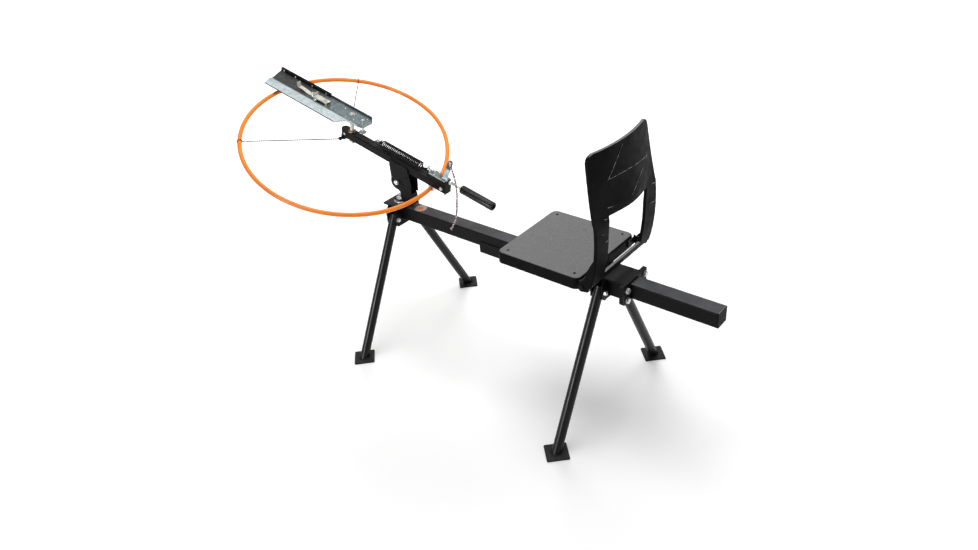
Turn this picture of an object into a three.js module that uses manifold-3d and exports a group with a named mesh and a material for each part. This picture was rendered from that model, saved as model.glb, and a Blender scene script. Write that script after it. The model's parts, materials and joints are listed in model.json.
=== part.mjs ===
// A seated manual clay-target thrower: a square beam on four splayed legs carries a moulded
// seat with a fold-down back, and a spring-driven throwing head with a guard ring.
// Millimetres, +Z up, -Y is the throwing direction, +X is the left hand of the seated person.

import * as THREE from 'three';
import { mergeVertices } from 'three/addons/utils/BufferGeometryUtils.js';
import Module from 'manifold-3d';

const wasm = await Module();
wasm.setup();

// ---------------------------------------------------------------- driving dimensions

const GAP = 0.3;                 // air between pieces that touch
const BEAM = { size: 50.8, wall: 3, front: -752, rear: 515, top: 508 };
const BEAM_MID = BEAM.top - BEAM.size / 2;
const BEAM_BOTTOM = BEAM.top - BEAM.size;

const LEG = { radius: 15.9, bore: 13.7, footX: 293, topX: 42, topZ: 478, frontY: -708, rearY: 147 };
const LEG_SLOPE = (LEG.footX - LEG.topX) / (LEG.topZ - 5);
const LEG_BOLT = { z: 464, x: LEG.topX + (LEG.topZ - 464) * LEG_SLOPE, radius: 4 };
const FOOT = { size: 72, thick: 5 };

const BRACKET = { inner: 16.4, plate: 5, halfWidth: 62, bottom: 437, topThick: 6, topHalf: 46 };
const BRACKET_TOP = BEAM.top + GAP + BRACKET.topThick;
const CLAMP = { y: 229, plate: 6, halfWidth: 67, bottom: 450, top: 517 };

const SEAT = {
  x: 4, halfX: 154, halfY: 150, top: 564, skirt: 527, wall: 4, corner: 22, holeX: 129, holeY: 121,
};
const HINGE = { y: 166, z: 548, pin: 4 };
const BACK = {
  bottom: 553, windowBottom: 577, windowTop: 764, top: 952, thick: 10, hollow: 26,
  upright: 158, panelTop: 150, panelBottom: 160, windowHalf: 97,
};

const SWIVEL = { y: -708, bolt: 6, washer: 27 };
const TILT = { y: -698, z: 596, angle: THREE.MathUtils.degToRad(13), bolt: 5 };

// In the head's own frame the tilt bolt is the origin, y runs rearward along the bar and z is
// square to it.
const BAR = { half: 15, bottom: 58, top: 87, rear: 210, nose: -285 };
const SPINDLE = { y: -238, radius: 8 };
const CRANK_PIN = { y: -185, radius: 4.5, collar: 13.5 };
const SPRING = { z: 105, radius: 15, front: -93, rear: 92 };
const LINK = { inner: 8.8, outer: 15, tab: -119, bottom: 103, top: 107 };
const ARM = { floor: 150.5, sheet: 2.5, far: -33, wallTop: 161.5, foot: 34, near: 47, flange: 84, lip: 160.5 };
const GRIP = { x: -6, z: 98, radius: 14.5, start: 267, end: 402 };
const RELEASE = { front: 138, top: 104, sheet: 2.5 };
const LEVER = { x: 8, topX: -20, topZ: 171, front: 192, rear: 212 };

const RING = { x: 65, y: -871.3, z: 726.8, radius: 357.3, tube: 7.5, tilt: 0.344, roll: 0.066 };
const RING_START = THREE.MathUtils.degToRad(97);      // under the bar
const RING_END = THREE.MathUtils.degToRad(-247);      // on top of the release plate
const STAYS = [['left', 1, 0.399], ['right', -1, 0.693]];

// ---------------------------------------------------------------- materials

const FINISHES = {
  black_paint: [0x232021, 0.45, 0.5],
  galvanised: [0xb4bec2, 0.4, 0.9],
  zinc: [0xd2d6d4, 0.3, 0.9],
  seat_plastic: [0x2c2c2d, 0.6, 0.0],
  orange_plastic: [0xf07c1e, 0.45, 0.0],
  black_rubber: [0x151515, 0.8, 0.0],
  bronze: [0x9a7a48, 0.4, 0.8],
  cord_yarn: [0xc9bcc0, 0.9, 0.0],
};

function finish(name) {
  const [color, roughness, metalness] = FINISHES[name];
  return new THREE.MeshStandardMaterial({ name, color, roughness, metalness });
}

// ---------------------------------------------------------------- solid modelling helpers

function toSolid(geometry) {
  const plain = geometry.clone();
  plain.deleteAttribute('normal');
  plain.deleteAttribute('uv');
  const merged = mergeVertices(plain, 1e-4);
  const vertProperties = new Float32Array(merged.attributes.position.array);
  const triVerts = new Uint32Array(merged.index.array);
  return new wasm.Manifold(new wasm.Mesh({ numProp: 3, vertProperties, triVerts }));
}

function toGeometry(solid) {
  const mesh = solid.getMesh();
  const geometry = new THREE.BufferGeometry();
  geometry.setAttribute('position', new THREE.BufferAttribute(mesh.vertProperties, 3));
  geometry.setIndex(new THREE.BufferAttribute(mesh.triVerts, 1));
  geometry.computeVertexNormals();
  return geometry;
}

function join(...geometries) {
  const solids = geometries.map(toSolid);
  return toGeometry(solids.reduce((sum, next) => sum.add(next)));
}

function cut(base, ...tools) {
  return toGeometry(tools.map(toSolid).reduce((rest, tool) => rest.subtract(tool), toSolid(base)));
}

function common(a, b) {
  return toGeometry(toSolid(a).intersect(toSolid(b)));
}

function block(x0, x1, y0, y1, z0, z1) {
  const geometry = new THREE.BoxGeometry(x1 - x0, y1 - y0, z1 - z0);
  return geometry.translate((x0 + x1) / 2, (y0 + y1) / 2, (z0 + z1) / 2);
}

// Turns a shape extruded along +Z into one that ends at y = end: shape x to X, shape y to Z.
function alongY(geometry, end) {
  return geometry.rotateX(Math.PI / 2).translate(0, end, 0);
}

// Turns a shape extruded along +Z into one extruded along +X: shape x to Y, shape y to Z.
function alongX(geometry, x0) {
  const X = new THREE.Vector3(1, 0, 0);
  const Y = new THREE.Vector3(0, 1, 0);
  const Z = new THREE.Vector3(0, 0, 1);
  return geometry.applyMatrix4(new THREE.Matrix4().makeBasis(Y, Z, X)).translate(x0, 0, 0);
}

function prism(shape, depth, curveSegments = 4) {
  return new THREE.ExtrudeGeometry(shape, { depth, bevelEnabled: false, curveSegments });
}

function polygon(points) {
  return new THREE.Shape(points.map(([x, y]) => new THREE.Vector2(x, y)));
}

function roundedRect(width, height, radius) {
  const x = width / 2;
  const y = height / 2;
  const shape = new THREE.Shape();
  shape.moveTo(x - radius, -y);
  shape.absarc(x - radius, radius - y, radius, -Math.PI / 2, 0);
  shape.absarc(x - radius, y - radius, radius, 0, Math.PI / 2);
  shape.absarc(radius - x, y - radius, radius, Math.PI / 2, Math.PI);
  shape.absarc(radius - x, radius - y, radius, Math.PI, 1.5 * Math.PI);
  return shape;
}

function rod(axis, radius, start, end, sides = 16) {
  const geometry = new THREE.CylinderGeometry(radius, radius, end - start, sides);
  geometry.translate(0, (start + end) / 2, 0);
  if (axis === 'x') geometry.rotateZ(-Math.PI / 2);
  if (axis === 'z') geometry.rotateX(Math.PI / 2);
  return geometry;
}

// A closed ring or shaft turned about Z from [radius, z] points.
function turned(points, sides = 24) {
  const profile = points.map(([r, z]) => new THREE.Vector2(r, z));
  return new THREE.LatheGeometry(profile, sides).rotateX(Math.PI / 2);
}

// Hex head, shank and nut on one axis: [headStart, headEnd], [nutStart, nutEnd].
function boltAndNut(axis, radius, hexRadius, head, nut) {
  const ends = [...head, ...nut];
  return join(
    rod(axis, radius, Math.min(...ends), Math.max(...ends), 14),
    rod(axis, hexRadius, ...head, 6),
    rod(axis, hexRadius, ...nut, 6),
  );
}

function tubeAlong(points, radius, steps, sides) {
  const path = new THREE.CatmullRomCurve3(points);
  const section = new THREE.Shape();
  for (let i = 0; i < sides; i += 1) {
    const angle = (i / sides) * 2 * Math.PI;
    const corner = [radius * Math.cos(angle), radius * Math.sin(angle)];
    if (i === 0) section.moveTo(...corner);
    else section.lineTo(...corner);
  }
  return new THREE.ExtrudeGeometry(section, { steps, extrudePath: path, bevelEnabled: false });
}

// ---------------------------------------------------------------- the tree of groups

const stand = new THREE.Group();
const yoke = new THREE.Group();
const head = new THREE.Group();
head.position.set(0, TILT.y, TILT.z);
head.rotation.x = -TILT.angle;
stand.add(yoke);
yoke.add(head);
stand.updateMatrixWorld(true);

function add(parent, name, geometry, material) {
  const mesh = new THREE.Mesh(geometry, finish(material));
  mesh.name = name;
  parent.add(mesh);
  return mesh;
}

const SIDES = [['left', 1], ['right', -1]];

// ---------------------------------------------------------------- beam

function makeBeam() {
  const outline = roundedRect(BEAM.size, BEAM.size, 4);
  outline.holes.push(roundedRect(BEAM.size - 2 * BEAM.wall, BEAM.size - 2 * BEAM.wall, 1.5));
  const tube = alongY(prism(outline, BEAM.rear - BEAM.front, 3), BEAM.rear);
  tube.translate(0, 0, BEAM_MID);
  const swivelHole = rod('z', SWIVEL.bolt + 0.4, BEAM_BOTTOM - 5, BEAM.top + 5);
  add(stand, 'main_beam', cut(tube, swivelHole.translate(0, SWIVEL.y, 0)), 'black_paint');

  const inner = BEAM.size / 2 - BEAM.wall - GAP;
  const face = alongY(prism(roundedRect(BEAM.size, BEAM.size, 4), 3), BEAM.rear + GAP + 3);
  const plug = alongY(prism(roundedRect(2 * inner, 2 * inner, 3), 18), BEAM.rear + GAP + 1);
  face.translate(0, 0, BEAM_MID);
  plug.translate(0, 0, BEAM_MID);
  add(stand, 'beam_end_cap', join(face, plug), 'black_rubber');

  const badge = rod('z', 22, BEAM.top + GAP, BEAM.top + GAP + 0.8, 28);
  add(stand, 'beam_badge', badge.translate(2, -613, 0), 'orange_plastic');
}

// ---------------------------------------------------------------- legs and their brackets

function beamClearance(y0, y1) {
  const half = BEAM.size / 2 + GAP + 0.2;
  return block(-half, half, y0, y1, BEAM_BOTTOM - GAP, BEAM.top + GAP);
}

function bracketFlange(y0, thick) {
  const w = BRACKET.halfWidth;
  const top = BEAM.top + GAP + 2;
  const low = BRACKET.bottom;
  const outline = polygon([
    [-46, top], [-w, top - 18], [-w, low + 10], [-w + 12, low], [w - 12, low], [w, low + 10],
    [w, top - 18], [46, top],
  ]);
  return alongY(prism(outline, thick), y0 + thick);
}

function bracketBody(legY, topRear) {
  const { inner, plate, topHalf } = BRACKET;
  const flanges = [bracketFlange(legY - inner - plate, plate), bracketFlange(legY + inner, plate)];
  const top = block(-45, 45, legY - topHalf, topRear, BEAM.top + GAP, BRACKET_TOP);
  const holes = SIDES.map(([, side]) => rod('y', LEG_BOLT.radius + 0.5, legY - 30, legY + 30)
    .translate(side * LEG_BOLT.x, 0, LEG_BOLT.z));
  return cut(join(...flanges, top), beamClearance(legY - 100, topRear + 50), ...holes);
}

function clampOutline() {
  const { halfWidth, bottom, top } = CLAMP;
  return polygon([
    [-halfWidth, top], [-halfWidth, bottom + 8], [-halfWidth + 8, bottom], [halfWidth - 8, bottom],
    [halfWidth, bottom + 8], [halfWidth, top],
  ]);
}

const CLAMP_BOLTS = [['upper', 42, 494], ['lower', 42, 460], ['far', -56, 500]];

function makeBrackets() {
  const frontTop = cut(
    bracketBody(LEG.frontY, LEG.frontY + BRACKET.topHalf),
    rod('z', SWIVEL.bolt + 0.4, BEAM.top - 2, BRACKET_TOP + 5).translate(0, SWIVEL.y, 0),
  );
  add(stand, 'front_leg_bracket', frontTop, 'black_paint');

  const flangeY = CLAMP.y;
  const rearBody = bracketBody(LEG.rearY, flangeY + CLAMP.plate);
  const sides = SIDES.map(([, side]) => {
    const inner = BEAM.size / 2 + GAP + 0.2;
    const x0 = side > 0 ? inner : -inner - 6;
    return block(x0, x0 + 6, LEG.rearY + BRACKET.inner, flangeY + 1, BRACKET.bottom + 12, BRACKET_TOP - 1);
  });
  const rearFlange = alongY(prism(clampOutline(), CLAMP.plate), flangeY + CLAMP.plate);
  const boltHoles = CLAMP_BOLTS.map(([, x, z]) => rod('y', 5.5, flangeY - 5, flangeY + 20).translate(x, 0, z));
  const rear = cut(join(rearBody, ...sides, rearFlange), beamClearance(50, 260), ...boltHoles);
  add(stand, 'rear_leg_bracket', rear, 'black_paint');

  const clampY = flangeY + CLAMP.plate + GAP;
  const clamp = alongY(prism(clampOutline(), CLAMP.plate), clampY + CLAMP.plate);
  add(stand, 'rear_clamp_plate', cut(clamp, beamClearance(50, 260), ...boltHoles), 'black_paint');
  const headY = clampY + CLAMP.plate + GAP;
  for (const [name, x, z] of CLAMP_BOLTS) {
    const bolt = boltAndNut('y', 5, 9.5, [headY, headY + 7], [flangeY - GAP - 7, flangeY - GAP]);
    add(stand, `clamp_bolt_${name}`, bolt.translate(x, 0, z), 'zinc');
  }
}

function makeLeg() {
  const outline = new THREE.Shape().absarc(0, 0, LEG.radius, 0, 2 * Math.PI);
  outline.holes.push(new THREE.Path().absarc(0, 0, LEG.bore, 0, 2 * Math.PI));
  const length = Math.hypot(LEG.footX - LEG.topX, LEG.topZ) + 30;
  const tube = prism(outline, length, 9).translate(0, 0, -length);
  tube.rotateY(-Math.atan(LEG_SLOPE)).translate(LEG.topX, 0, LEG.topZ);
  const ground = block(-100, 600, -100, 100, -100, FOOT.thick + GAP);
  const hole = rod('y', LEG_BOLT.radius + 0.5, -40, 40).translate(LEG_BOLT.x, 0, LEG_BOLT.z);
  return cut(tube, ground, hole);
}

function makeLegs() {
  const places = [['front', LEG.frontY], ['rear', LEG.rearY]];
  for (const [end, y] of places) {
    for (const [sideName, side] of SIDES) {
      const name = `${end}_${sideName}`;
      const leg = add(stand, `leg_${name}`, makeLeg(), 'black_paint');
      leg.position.y = y;
      leg.rotation.z = side > 0 ? 0 : Math.PI;

      const foot = prism(roundedRect(FOOT.size, FOOT.size, 4), FOOT.thick, 2).rotateZ(Math.PI / 4);
      add(stand, `foot_${name}`, foot, 'black_paint').position.set(side * LEG.footX, y, 0);

      const outer = BRACKET.inner + BRACKET.plate + GAP;
      const bolt = boltAndNut('y', LEG_BOLT.radius, 8, [-outer - 5.5, -outer], [outer, outer + 7]);
      add(stand, `leg_bolt_${name}`, bolt, 'zinc').position.set(side * LEG_BOLT.x, y, LEG_BOLT.z);
    }
  }
}

// ---------------------------------------------------------------- seat

function makeSeat() {
  const half = BEAM.size / 2 + 0.4;
  const channel = polygon([
    [half, 474], [half + 4, 474], [half + 4, 436], [-half - 4, 436], [-half - 4, 474], [-half, 474],
    [-half, 440], [half, 440],
  ]);
  const railRear = LEG.rearY - BRACKET.inner - BRACKET.plate - 1;
  add(stand, 'seat_rail', alongY(prism(channel, railRear + 330), railRear), 'black_paint');

  const plateTop = BEAM.top + GAP + 5;
  add(stand, 'seat_mount_plate', block(-45, 45, -130, 96, BEAM.top + GAP, plateTop), 'black_paint');
  const crossTop = SEAT.top - SEAT.wall - 2 * GAP;
  for (const [name, y] of [['front', -100], ['rear', 76]]) {
    const outer = block(-118, 118, y - 16, y + 16, plateTop + GAP, crossTop);
    const inner = block(-120, 120, y - 13, y + 13, plateTop + GAP + 3, crossTop - 3);
    add(stand, `seat_cross_${name}`, cut(outer, inner), 'black_paint');
  }

  const bevel = 7;
  const outline = roundedRect(2 * (SEAT.halfX - bevel), 2 * (SEAT.halfY - bevel), SEAT.corner - bevel);
  const shell = new THREE.ExtrudeGeometry(outline, {
    depth: 40, bevelThickness: bevel, bevelSize: bevel, bevelSegments: 3, curveSegments: 5,
  }).translate(SEAT.x, 0, SEAT.top - 40 - bevel);
  const wall = SEAT.wall;
  const hollow = prism(roundedRect(2 * (SEAT.halfX - wall), 2 * (SEAT.halfY - wall), SEAT.corner - wall), 100, 5);
  hollow.translate(SEAT.x, 0, SEAT.top - wall - 100);
  const below = block(-200, 200, -200, 200, 400, SEAT.skirt);
  const holes = [];
  for (const x of [-SEAT.holeX, SEAT.holeX]) {
    for (const y of [-SEAT.holeY, SEAT.holeY]) {
      holes.push(rod('z', 4, 540, 580, 12).translate(SEAT.x + x, y, 0));
    }
  }
  add(stand, 'seat_pan', cut(shell, hollow, below, ...holes), 'seat_plastic');
}

// ---------------------------------------------------------------- seat back

function interpolate(table, z) {
  const i = Math.max(1, table.findIndex(([at]) => at >= z));
  const [[z0, y0], [z1, y1]] = [table[i - 1], table[i]];
  return THREE.MathUtils.lerp(y0, y1, (z - z0) / (z1 - z0));
}

// Rear face of the moulding at its outer edges, as [z, y].
const REAR_EDGE = [
  [540, 190], [553, 196], [575, 203], [616, 211], [678, 217], [744, 216], [781, 209], [865, 194],
  [953, 181],
];

// Straight uprights and bottom rail, and an upper panel hollowed towards its middle.
function backRear(x, z) {
  const fade = THREE.MathUtils.smoothstep(z, 700, 790);
  const part = Math.min(1, Math.abs(x) / BACK.panelBottom);
  const across = THREE.MathUtils.lerp(
    Math.cos((Math.PI / 2) * part) ** 2, 1 - part ** 2, THREE.MathUtils.smoothstep(z, 764, 880),
  );
  return interpolate(REAR_EDGE, z) + BACK.hollow * fade * across;
}

function makeBackSheet() {
  const rows = [553, 565, 577, 600, 630, 665, 700, 735, 764, 790, 820, 850, 880, 910, 940, 952];
  const columns = [-1, -0.93, -0.8, -0.62, -0.42, -0.21, 0, 0.21, 0.42, 0.62, 0.8, 0.93, 1];
  const windowColumns = [3, 9];
  const halfAt = (z) => {
    if (z < BACK.windowTop - 10) return BACK.upright;
    const up = (z - BACK.windowTop) / (BACK.top - BACK.windowTop);
    const corner = z > 945 ? 10 : 0;
    return THREE.MathUtils.lerp(BACK.panelBottom, BACK.panelTop, up) - corner;
  };
  const open = (i, j) => i >= windowColumns[0] && i < windowColumns[1]
    && rows[j] >= BACK.windowBottom && rows[j + 1] <= BACK.windowTop;
  const inside = (i, j) => i >= 0 && j >= 0 && i < columns.length - 1 && j < rows.length - 1 && !open(i, j);
  const index = (i, j, side) => 2 * (j * columns.length + i) + side;
  const points = [];
  const triangles = [];
  rows.forEach((z) => {
    columns.forEach((column) => {
      const x = column * halfAt(z);
      const rear = backRear(x, z);
      points.push(SEAT.x + x, rear - BACK.thick, z, SEAT.x + x, rear, z);
    });
  });
  const quad = (a, b, c, d) => triangles.push(a, b, c, a, c, d);
  for (let j = 0; j < rows.length - 1; j += 1) {
    for (let i = 0; i < columns.length - 1; i += 1) {
      if (!inside(i, j)) continue;
      const [a, b, c, d] = [[i, j], [i + 1, j], [i + 1, j + 1], [i, j + 1]];
      quad(index(...a, 0), index(...b, 0), index(...c, 0), index(...d, 0));
      quad(index(...d, 1), index(...c, 1), index(...b, 1), index(...a, 1));
      const rim = (p, q) => quad(index(...q, 0), index(...p, 0), index(...p, 1), index(...q, 1));
      if (!inside(i, j - 1)) rim(a, b);
      if (!inside(i + 1, j)) rim(b, c);
      if (!inside(i, j + 1)) rim(c, d);
      if (!inside(i - 1, j)) rim(d, a);
    }
  }
  const sheet = new THREE.BufferGeometry();
  sheet.setAttribute('position', new THREE.BufferAttribute(new Float32Array(points), 3));
  sheet.setIndex(triangles);
  return sheet;
}

function makeSeatBack() {
  const gusset = new THREE.Shape();
  gusset.moveTo(214, 655);
  gusset.lineTo(203, 642);
  gusset.lineTo(188, 614);
  gusset.lineTo(178, 582);
  gusset.lineTo(160, 562);
  gusset.absarc(HINGE.y, HINGE.z, 14, 2.0, 1.5 * Math.PI);
  gusset.lineTo(187, 538);
  gusset.lineTo(201, 575);
  gusset.lineTo(209, 616);
  const inner = SEAT.halfX + 0.8;
  const gussets = SIDES.map(([, side]) => {
    const x0 = SEAT.x + (side > 0 ? inner : -inner - 7);
    const pinHole = rod('x', HINGE.pin + 0.4, x0 - 5, x0 + 12).translate(0, HINGE.y, HINGE.z);
    return cut(alongX(prism(gusset, 7, 8), x0), pinHole);
  });
  add(stand, 'seat_back', join(makeBackSheet(), ...gussets), 'seat_plastic');

  for (const [name, side] of SIDES) {
    const x0 = SEAT.x + side * 148 - 3;
    const plate = new THREE.Shape();
    plate.moveTo(SEAT.halfY + GAP, 534);
    plate.lineTo(HINGE.y + 4, 534);
    plate.absarc(HINGE.y, HINGE.z, 13, -1.2, 2.2);
    plate.lineTo(SEAT.halfY + GAP, 562);
    const footX = side > 0 ? x0 - 34 : x0;
    const tab = block(footX, footX + 40, SEAT.halfY + GAP, SEAT.halfY + GAP + 4, 534, 557);
    const pinHole = rod('x', HINGE.pin + 0.4, x0 - 5, x0 + 12).translate(0, HINGE.y, HINGE.z);
    const bracket = cut(join(alongX(prism(plate, 6, 8), x0), tab), pinHole);
    add(stand, `hinge_bracket_${name}`, bracket, 'black_paint');

    const outer = inner + 7 + GAP;
    const pin = join(rod('x', HINGE.pin, 142, outer + 1, 14), rod('x', 8, outer, outer + 3.5, 14));
    pin.rotateZ(side > 0 ? 0 : Math.PI).translate(SEAT.x, HINGE.y, HINGE.z);
    add(stand, `hinge_pin_${name}`, pin, 'black_paint');
  }
}

// ---------------------------------------------------------------- swivel and tilt joint

const CHEEK_INNER = BAR.half + 0.3;
const CHEEK_OUTER = CHEEK_INNER + 4;

function makeSwivel() {
  const washerBottom = BRACKET_TOP + GAP;
  const washerTop = washerBottom + 5.4;
  const bore = SWIVEL.bolt + 0.5;
  const washer = turned([
    [bore, washerBottom], [SWIVEL.washer, washerBottom], [SWIVEL.washer, washerTop - 1.5],
    [SWIVEL.washer - 1.5, washerTop], [bore, washerTop], [bore, washerBottom],
  ], 28).translate(0, SWIVEL.y, 0);
  add(stand, 'swivel_washer', washer, 'zinc');

  const floorBottom = washerTop + GAP;
  const floorTop = floorBottom + 5;
  const bolt = join(
    rod('z', SWIVEL.bolt, BEAM_BOTTOM - 14, floorTop + 17, 18),
    rod('z', 11, BEAM_BOTTOM - 9, BEAM_BOTTOM - GAP, 6),
    rod('z', 9.6, floorTop + GAP, floorTop + 2, 20),
    rod('z', 9.4, floorTop + 1, floorTop + 11, 6),
  ).translate(0, SWIVEL.y, 0);
  add(stand, 'swivel_bolt', bolt, 'zinc');

  const ear = new THREE.Shape();
  ear.moveTo(-638, floorTop - 2);
  ear.lineTo(-642, 566);
  ear.lineTo(-676, 609);
  ear.absarc(TILT.y, TILT.z, 22, 0.6, Math.PI);
  ear.lineTo(-714, 578);
  ear.lineTo(-690, 556);
  ear.lineTo(-690, floorTop - 2);
  const parts = [
    block(-BAR.half, BAR.half, -728, -638, floorBottom, floorTop),
    block(-BAR.half, BAR.half, -643, -638, floorTop - 1, 560),
  ];
  for (const x0 of [-BAR.half, BAR.half - 5]) {
    parts.push(alongX(prism(ear, 5, 8), x0));
  }
  const base = cut(
    join(...parts),
    rod('z', bore, floorBottom - 5, floorTop + 5, 18).translate(0, SWIVEL.y, 0),
    rod('x', TILT.bolt + 0.4, -40, 40).translate(0, TILT.y, TILT.z),
  );
  add(yoke, 'swivel_base', base, 'black_paint');

  const outer = CHEEK_OUTER + GAP;
  const tiltBolt = boltAndNut('x', TILT.bolt, 8.5, [outer, outer + 5.5], [-outer - 8, -outer]);
  add(yoke, 'tilt_bolt', tiltBolt.translate(0, TILT.y, TILT.z), 'zinc');
}

// ---------------------------------------------------------------- throwing head

function makeBar() {
  const { half, bottom, top, rear, nose } = BAR;
  const outline = roundedRect(2 * half, top - bottom, 3);
  outline.holes.push(roundedRect(2 * half - 5, top - bottom - 5, 1));
  const tube = alongY(prism(outline, rear + 215, 2), rear).translate(0, 0, (bottom + top) / 2);
  const plan = new THREE.Shape();
  plan.moveTo(half, -213);
  plan.lineTo(-half, -213);
  plan.lineTo(-half, nose + half);
  plan.absarc(0, nose + half, half, Math.PI, 2 * Math.PI);
  const noseBlock = prism(plan, top - bottom, 8).translate(0, 0, bottom);
  const bore = rod('z', 11.4, bottom - 5, top + 5, 20).translate(0, SPINDLE.y, 0);
  add(head, 'head_bar', cut(join(tube, noseBlock), bore), 'black_paint');

  const bushing = turned([
    [8.4, bottom + 1], [11, bottom + 1], [11, top + GAP], [14.5, top + GAP], [14.5, top + 4],
    [8.4, top + 4], [8.4, bottom + 1],
  ], 20).translate(0, SPINDLE.y, 0);
  add(head, 'spindle_bushing', bushing, 'bronze');

  for (const [name, side] of SIDES) {
    const cheek = new THREE.Shape();
    cheek.moveTo(46, 74);
    cheek.lineTo(-40, 74);
    cheek.lineTo(-38, 58);
    cheek.lineTo(-26, 8);
    cheek.absarc(0, 0, 27, Math.PI, 1.5 * Math.PI);
    cheek.lineTo(26, -27);
    cheek.lineTo(68, -18);
    cheek.lineTo(62, 25);
    cheek.lineTo(48, 58);
    const x0 = side > 0 ? CHEEK_INNER : -CHEEK_OUTER;
    const plate = cut(alongX(prism(cheek, 4, 8), x0), rod('x', TILT.bolt + 0.4, -50, 50));
    add(head, `head_cheek_${name}`, plate, 'black_paint');
  }
}

function makeHandle() {
  const plateRear = BAR.rear + GAP + 4;
  const plate = block(-BAR.half, BAR.half, BAR.rear + GAP, plateRear, BAR.bottom - 2, RELEASE.top);
  add(head, 'head_end_plate', plate, 'black_paint');

  const start = plateRear + GAP;
  const shank = join(
    rod('y', 4.5, start, GRIP.start - GAP, 14),
    rod('y', 8, start, start + 8, 6),
    rod('y', 7.5, GRIP.start - 9, GRIP.start - GAP, 14),
  ).translate(GRIP.x, 0, GRIP.z);
  add(head, 'handle_rod', shank, 'zinc');
  const profile = [
    [0, GRIP.start], [11, GRIP.start], [GRIP.radius, GRIP.start + 4], [GRIP.radius, GRIP.end - 4],
    [11, GRIP.end], [0, GRIP.end],
  ];
  const grip = turned(profile, 20).rotateX(-Math.PI / 2).translate(GRIP.x, 0, GRIP.z);
  add(head, 'handle_grip', grip, 'black_rubber');
}

function makeSpring() {
  const coil = rod('y', SPRING.radius, SPRING.front, SPRING.rear, 16);
  add(head, 'main_spring', coil.translate(0, 0, SPRING.z), 'black_paint');

  const hook = rod('y', 3.5, SPRING.rear + GAP, RELEASE.front - 2, 12).translate(0, 0, SPRING.z - 6);
  const post = block(-8, 8, RELEASE.front - 12, RELEASE.front - 1, BAR.top + GAP, SPRING.z);
  add(head, 'spring_anchor', join(hook, post), 'black_paint');

  // The strap runs beside the spindle, so it can slide past it. Its tab carries the spring's hook.
  const { inner, outer, tab, bottom, top } = LINK;
  const tip = CRANK_PIN.y - 9;
  const link = polygon([
    [outer, SPRING.front - GAP], [-inner + 2, SPRING.front - GAP], [-inner + 2, tab], [inner, tab],
    [inner, tip], [inner + 2, tip - 3], [outer - 2, tip - 3], [outer, tip],
  ]);
  const bar = prism(link, top - bottom).translate(0, 0, bottom);
  add(head, 'spring_link', bar, 'black_paint');
}

function makeRelease() {
  const { half, top, rear } = BAR;
  const riser = block(-half, half, RELEASE.front, rear, top + GAP, RELEASE.top);
  add(head, 'release_block', riser, 'black_paint');

  const bottom = RELEASE.top + GAP;
  const plate = cut(
    block(-half, half, RELEASE.front, rear, bottom, bottom + RELEASE.sheet),
    rod('z', 2.5, bottom - 5, bottom + 8, 10).translate(8, RELEASE.front + 12, 0),
  );
  add(head, 'release_plate', plate, 'galvanised');

  const hinge = bottom + RELEASE.sheet + GAP + 3;
  const slope = Math.atan2(LEVER.topX - LEVER.x, LEVER.topZ - hinge);
  const length = Math.hypot(LEVER.topX - LEVER.x, LEVER.topZ - hinge);
  const middle = (LEVER.front + LEVER.rear) / 2;
  const half2 = (LEVER.rear - LEVER.front) / 2;
  const blade = join(
    block(-1.25, 1.25, LEVER.front, LEVER.rear, 0, length - half2),
    rod('x', half2, -1.25, 1.25, 24).translate(0, middle, length - half2),
  );
  const eye = rod('x', 4.5, -5, 5, 14).translate(0, middle, length - half2 + 1);
  const barrel = rod('y', 3, LEVER.front, LEVER.rear, 12);
  const lever = join(cut(blade, eye), barrel).rotateY(slope).translate(LEVER.x, 0, hinge);
  add(head, 'release_lever', lever, 'galvanised');
}

// ---------------------------------------------------------------- guard ring

function ringPoint(angle) {
  const { x, y, z, radius, tilt, roll } = RING;
  const normal = new THREE.Vector3(Math.sin(roll), Math.sin(tilt), Math.cos(tilt) * Math.cos(roll)).normalize();
  const across = new THREE.Vector3(0, 1, 0).cross(normal).normalize();
  const back = new THREE.Vector3().crossVectors(normal, across);
  return new THREE.Vector3(x, y, z)
    .addScaledVector(across, radius * Math.cos(angle))
    .addScaledVector(back, radius * Math.sin(angle));
}

// The hoop is flat except where its two ends are led to the bar.
function ringPath() {
  const startGoal = head.localToWorld(new THREE.Vector3(9, 149, BAR.bottom - RING.tube - 1.2));
  const onPlate = RELEASE.top + RELEASE.sheet + RING.tube + 1;
  const endGoal = head.localToWorld(new THREE.Vector3(2, 184, onPlate));
  const startShift = startGoal.sub(ringPoint(RING_START));
  const endShift = endGoal.sub(ringPoint(RING_END));
  const count = 72;
  const points = [];
  for (let i = 0; i <= count; i += 1) {
    const angle = THREE.MathUtils.lerp(RING_START, RING_END, i / count);
    const toStart = THREE.MathUtils.smoothstep(RING_START - angle, 0, 0.6);
    const toEnd = THREE.MathUtils.smoothstep(angle - RING_END, 0, 0.95);
    const point = ringPoint(angle);
    point.addScaledVector(startShift, 1 - toStart);
    point.addScaledVector(endShift, 1 - toEnd);
    points.push(point);
  }
  return points;
}

function intoHead(geometry) {
  return geometry.applyMatrix4(new THREE.Matrix4().copy(head.matrixWorld).invert());
}

function straightWire(start, end, radius) {
  const section = new THREE.Shape().absarc(0, 0, radius, 0, 2 * Math.PI);
  return new THREE.ExtrudeGeometry(section, {
    steps: 1, extrudePath: new THREE.LineCurve3(start, end), bevelEnabled: false, curveSegments: 4,
  });
}

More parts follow.
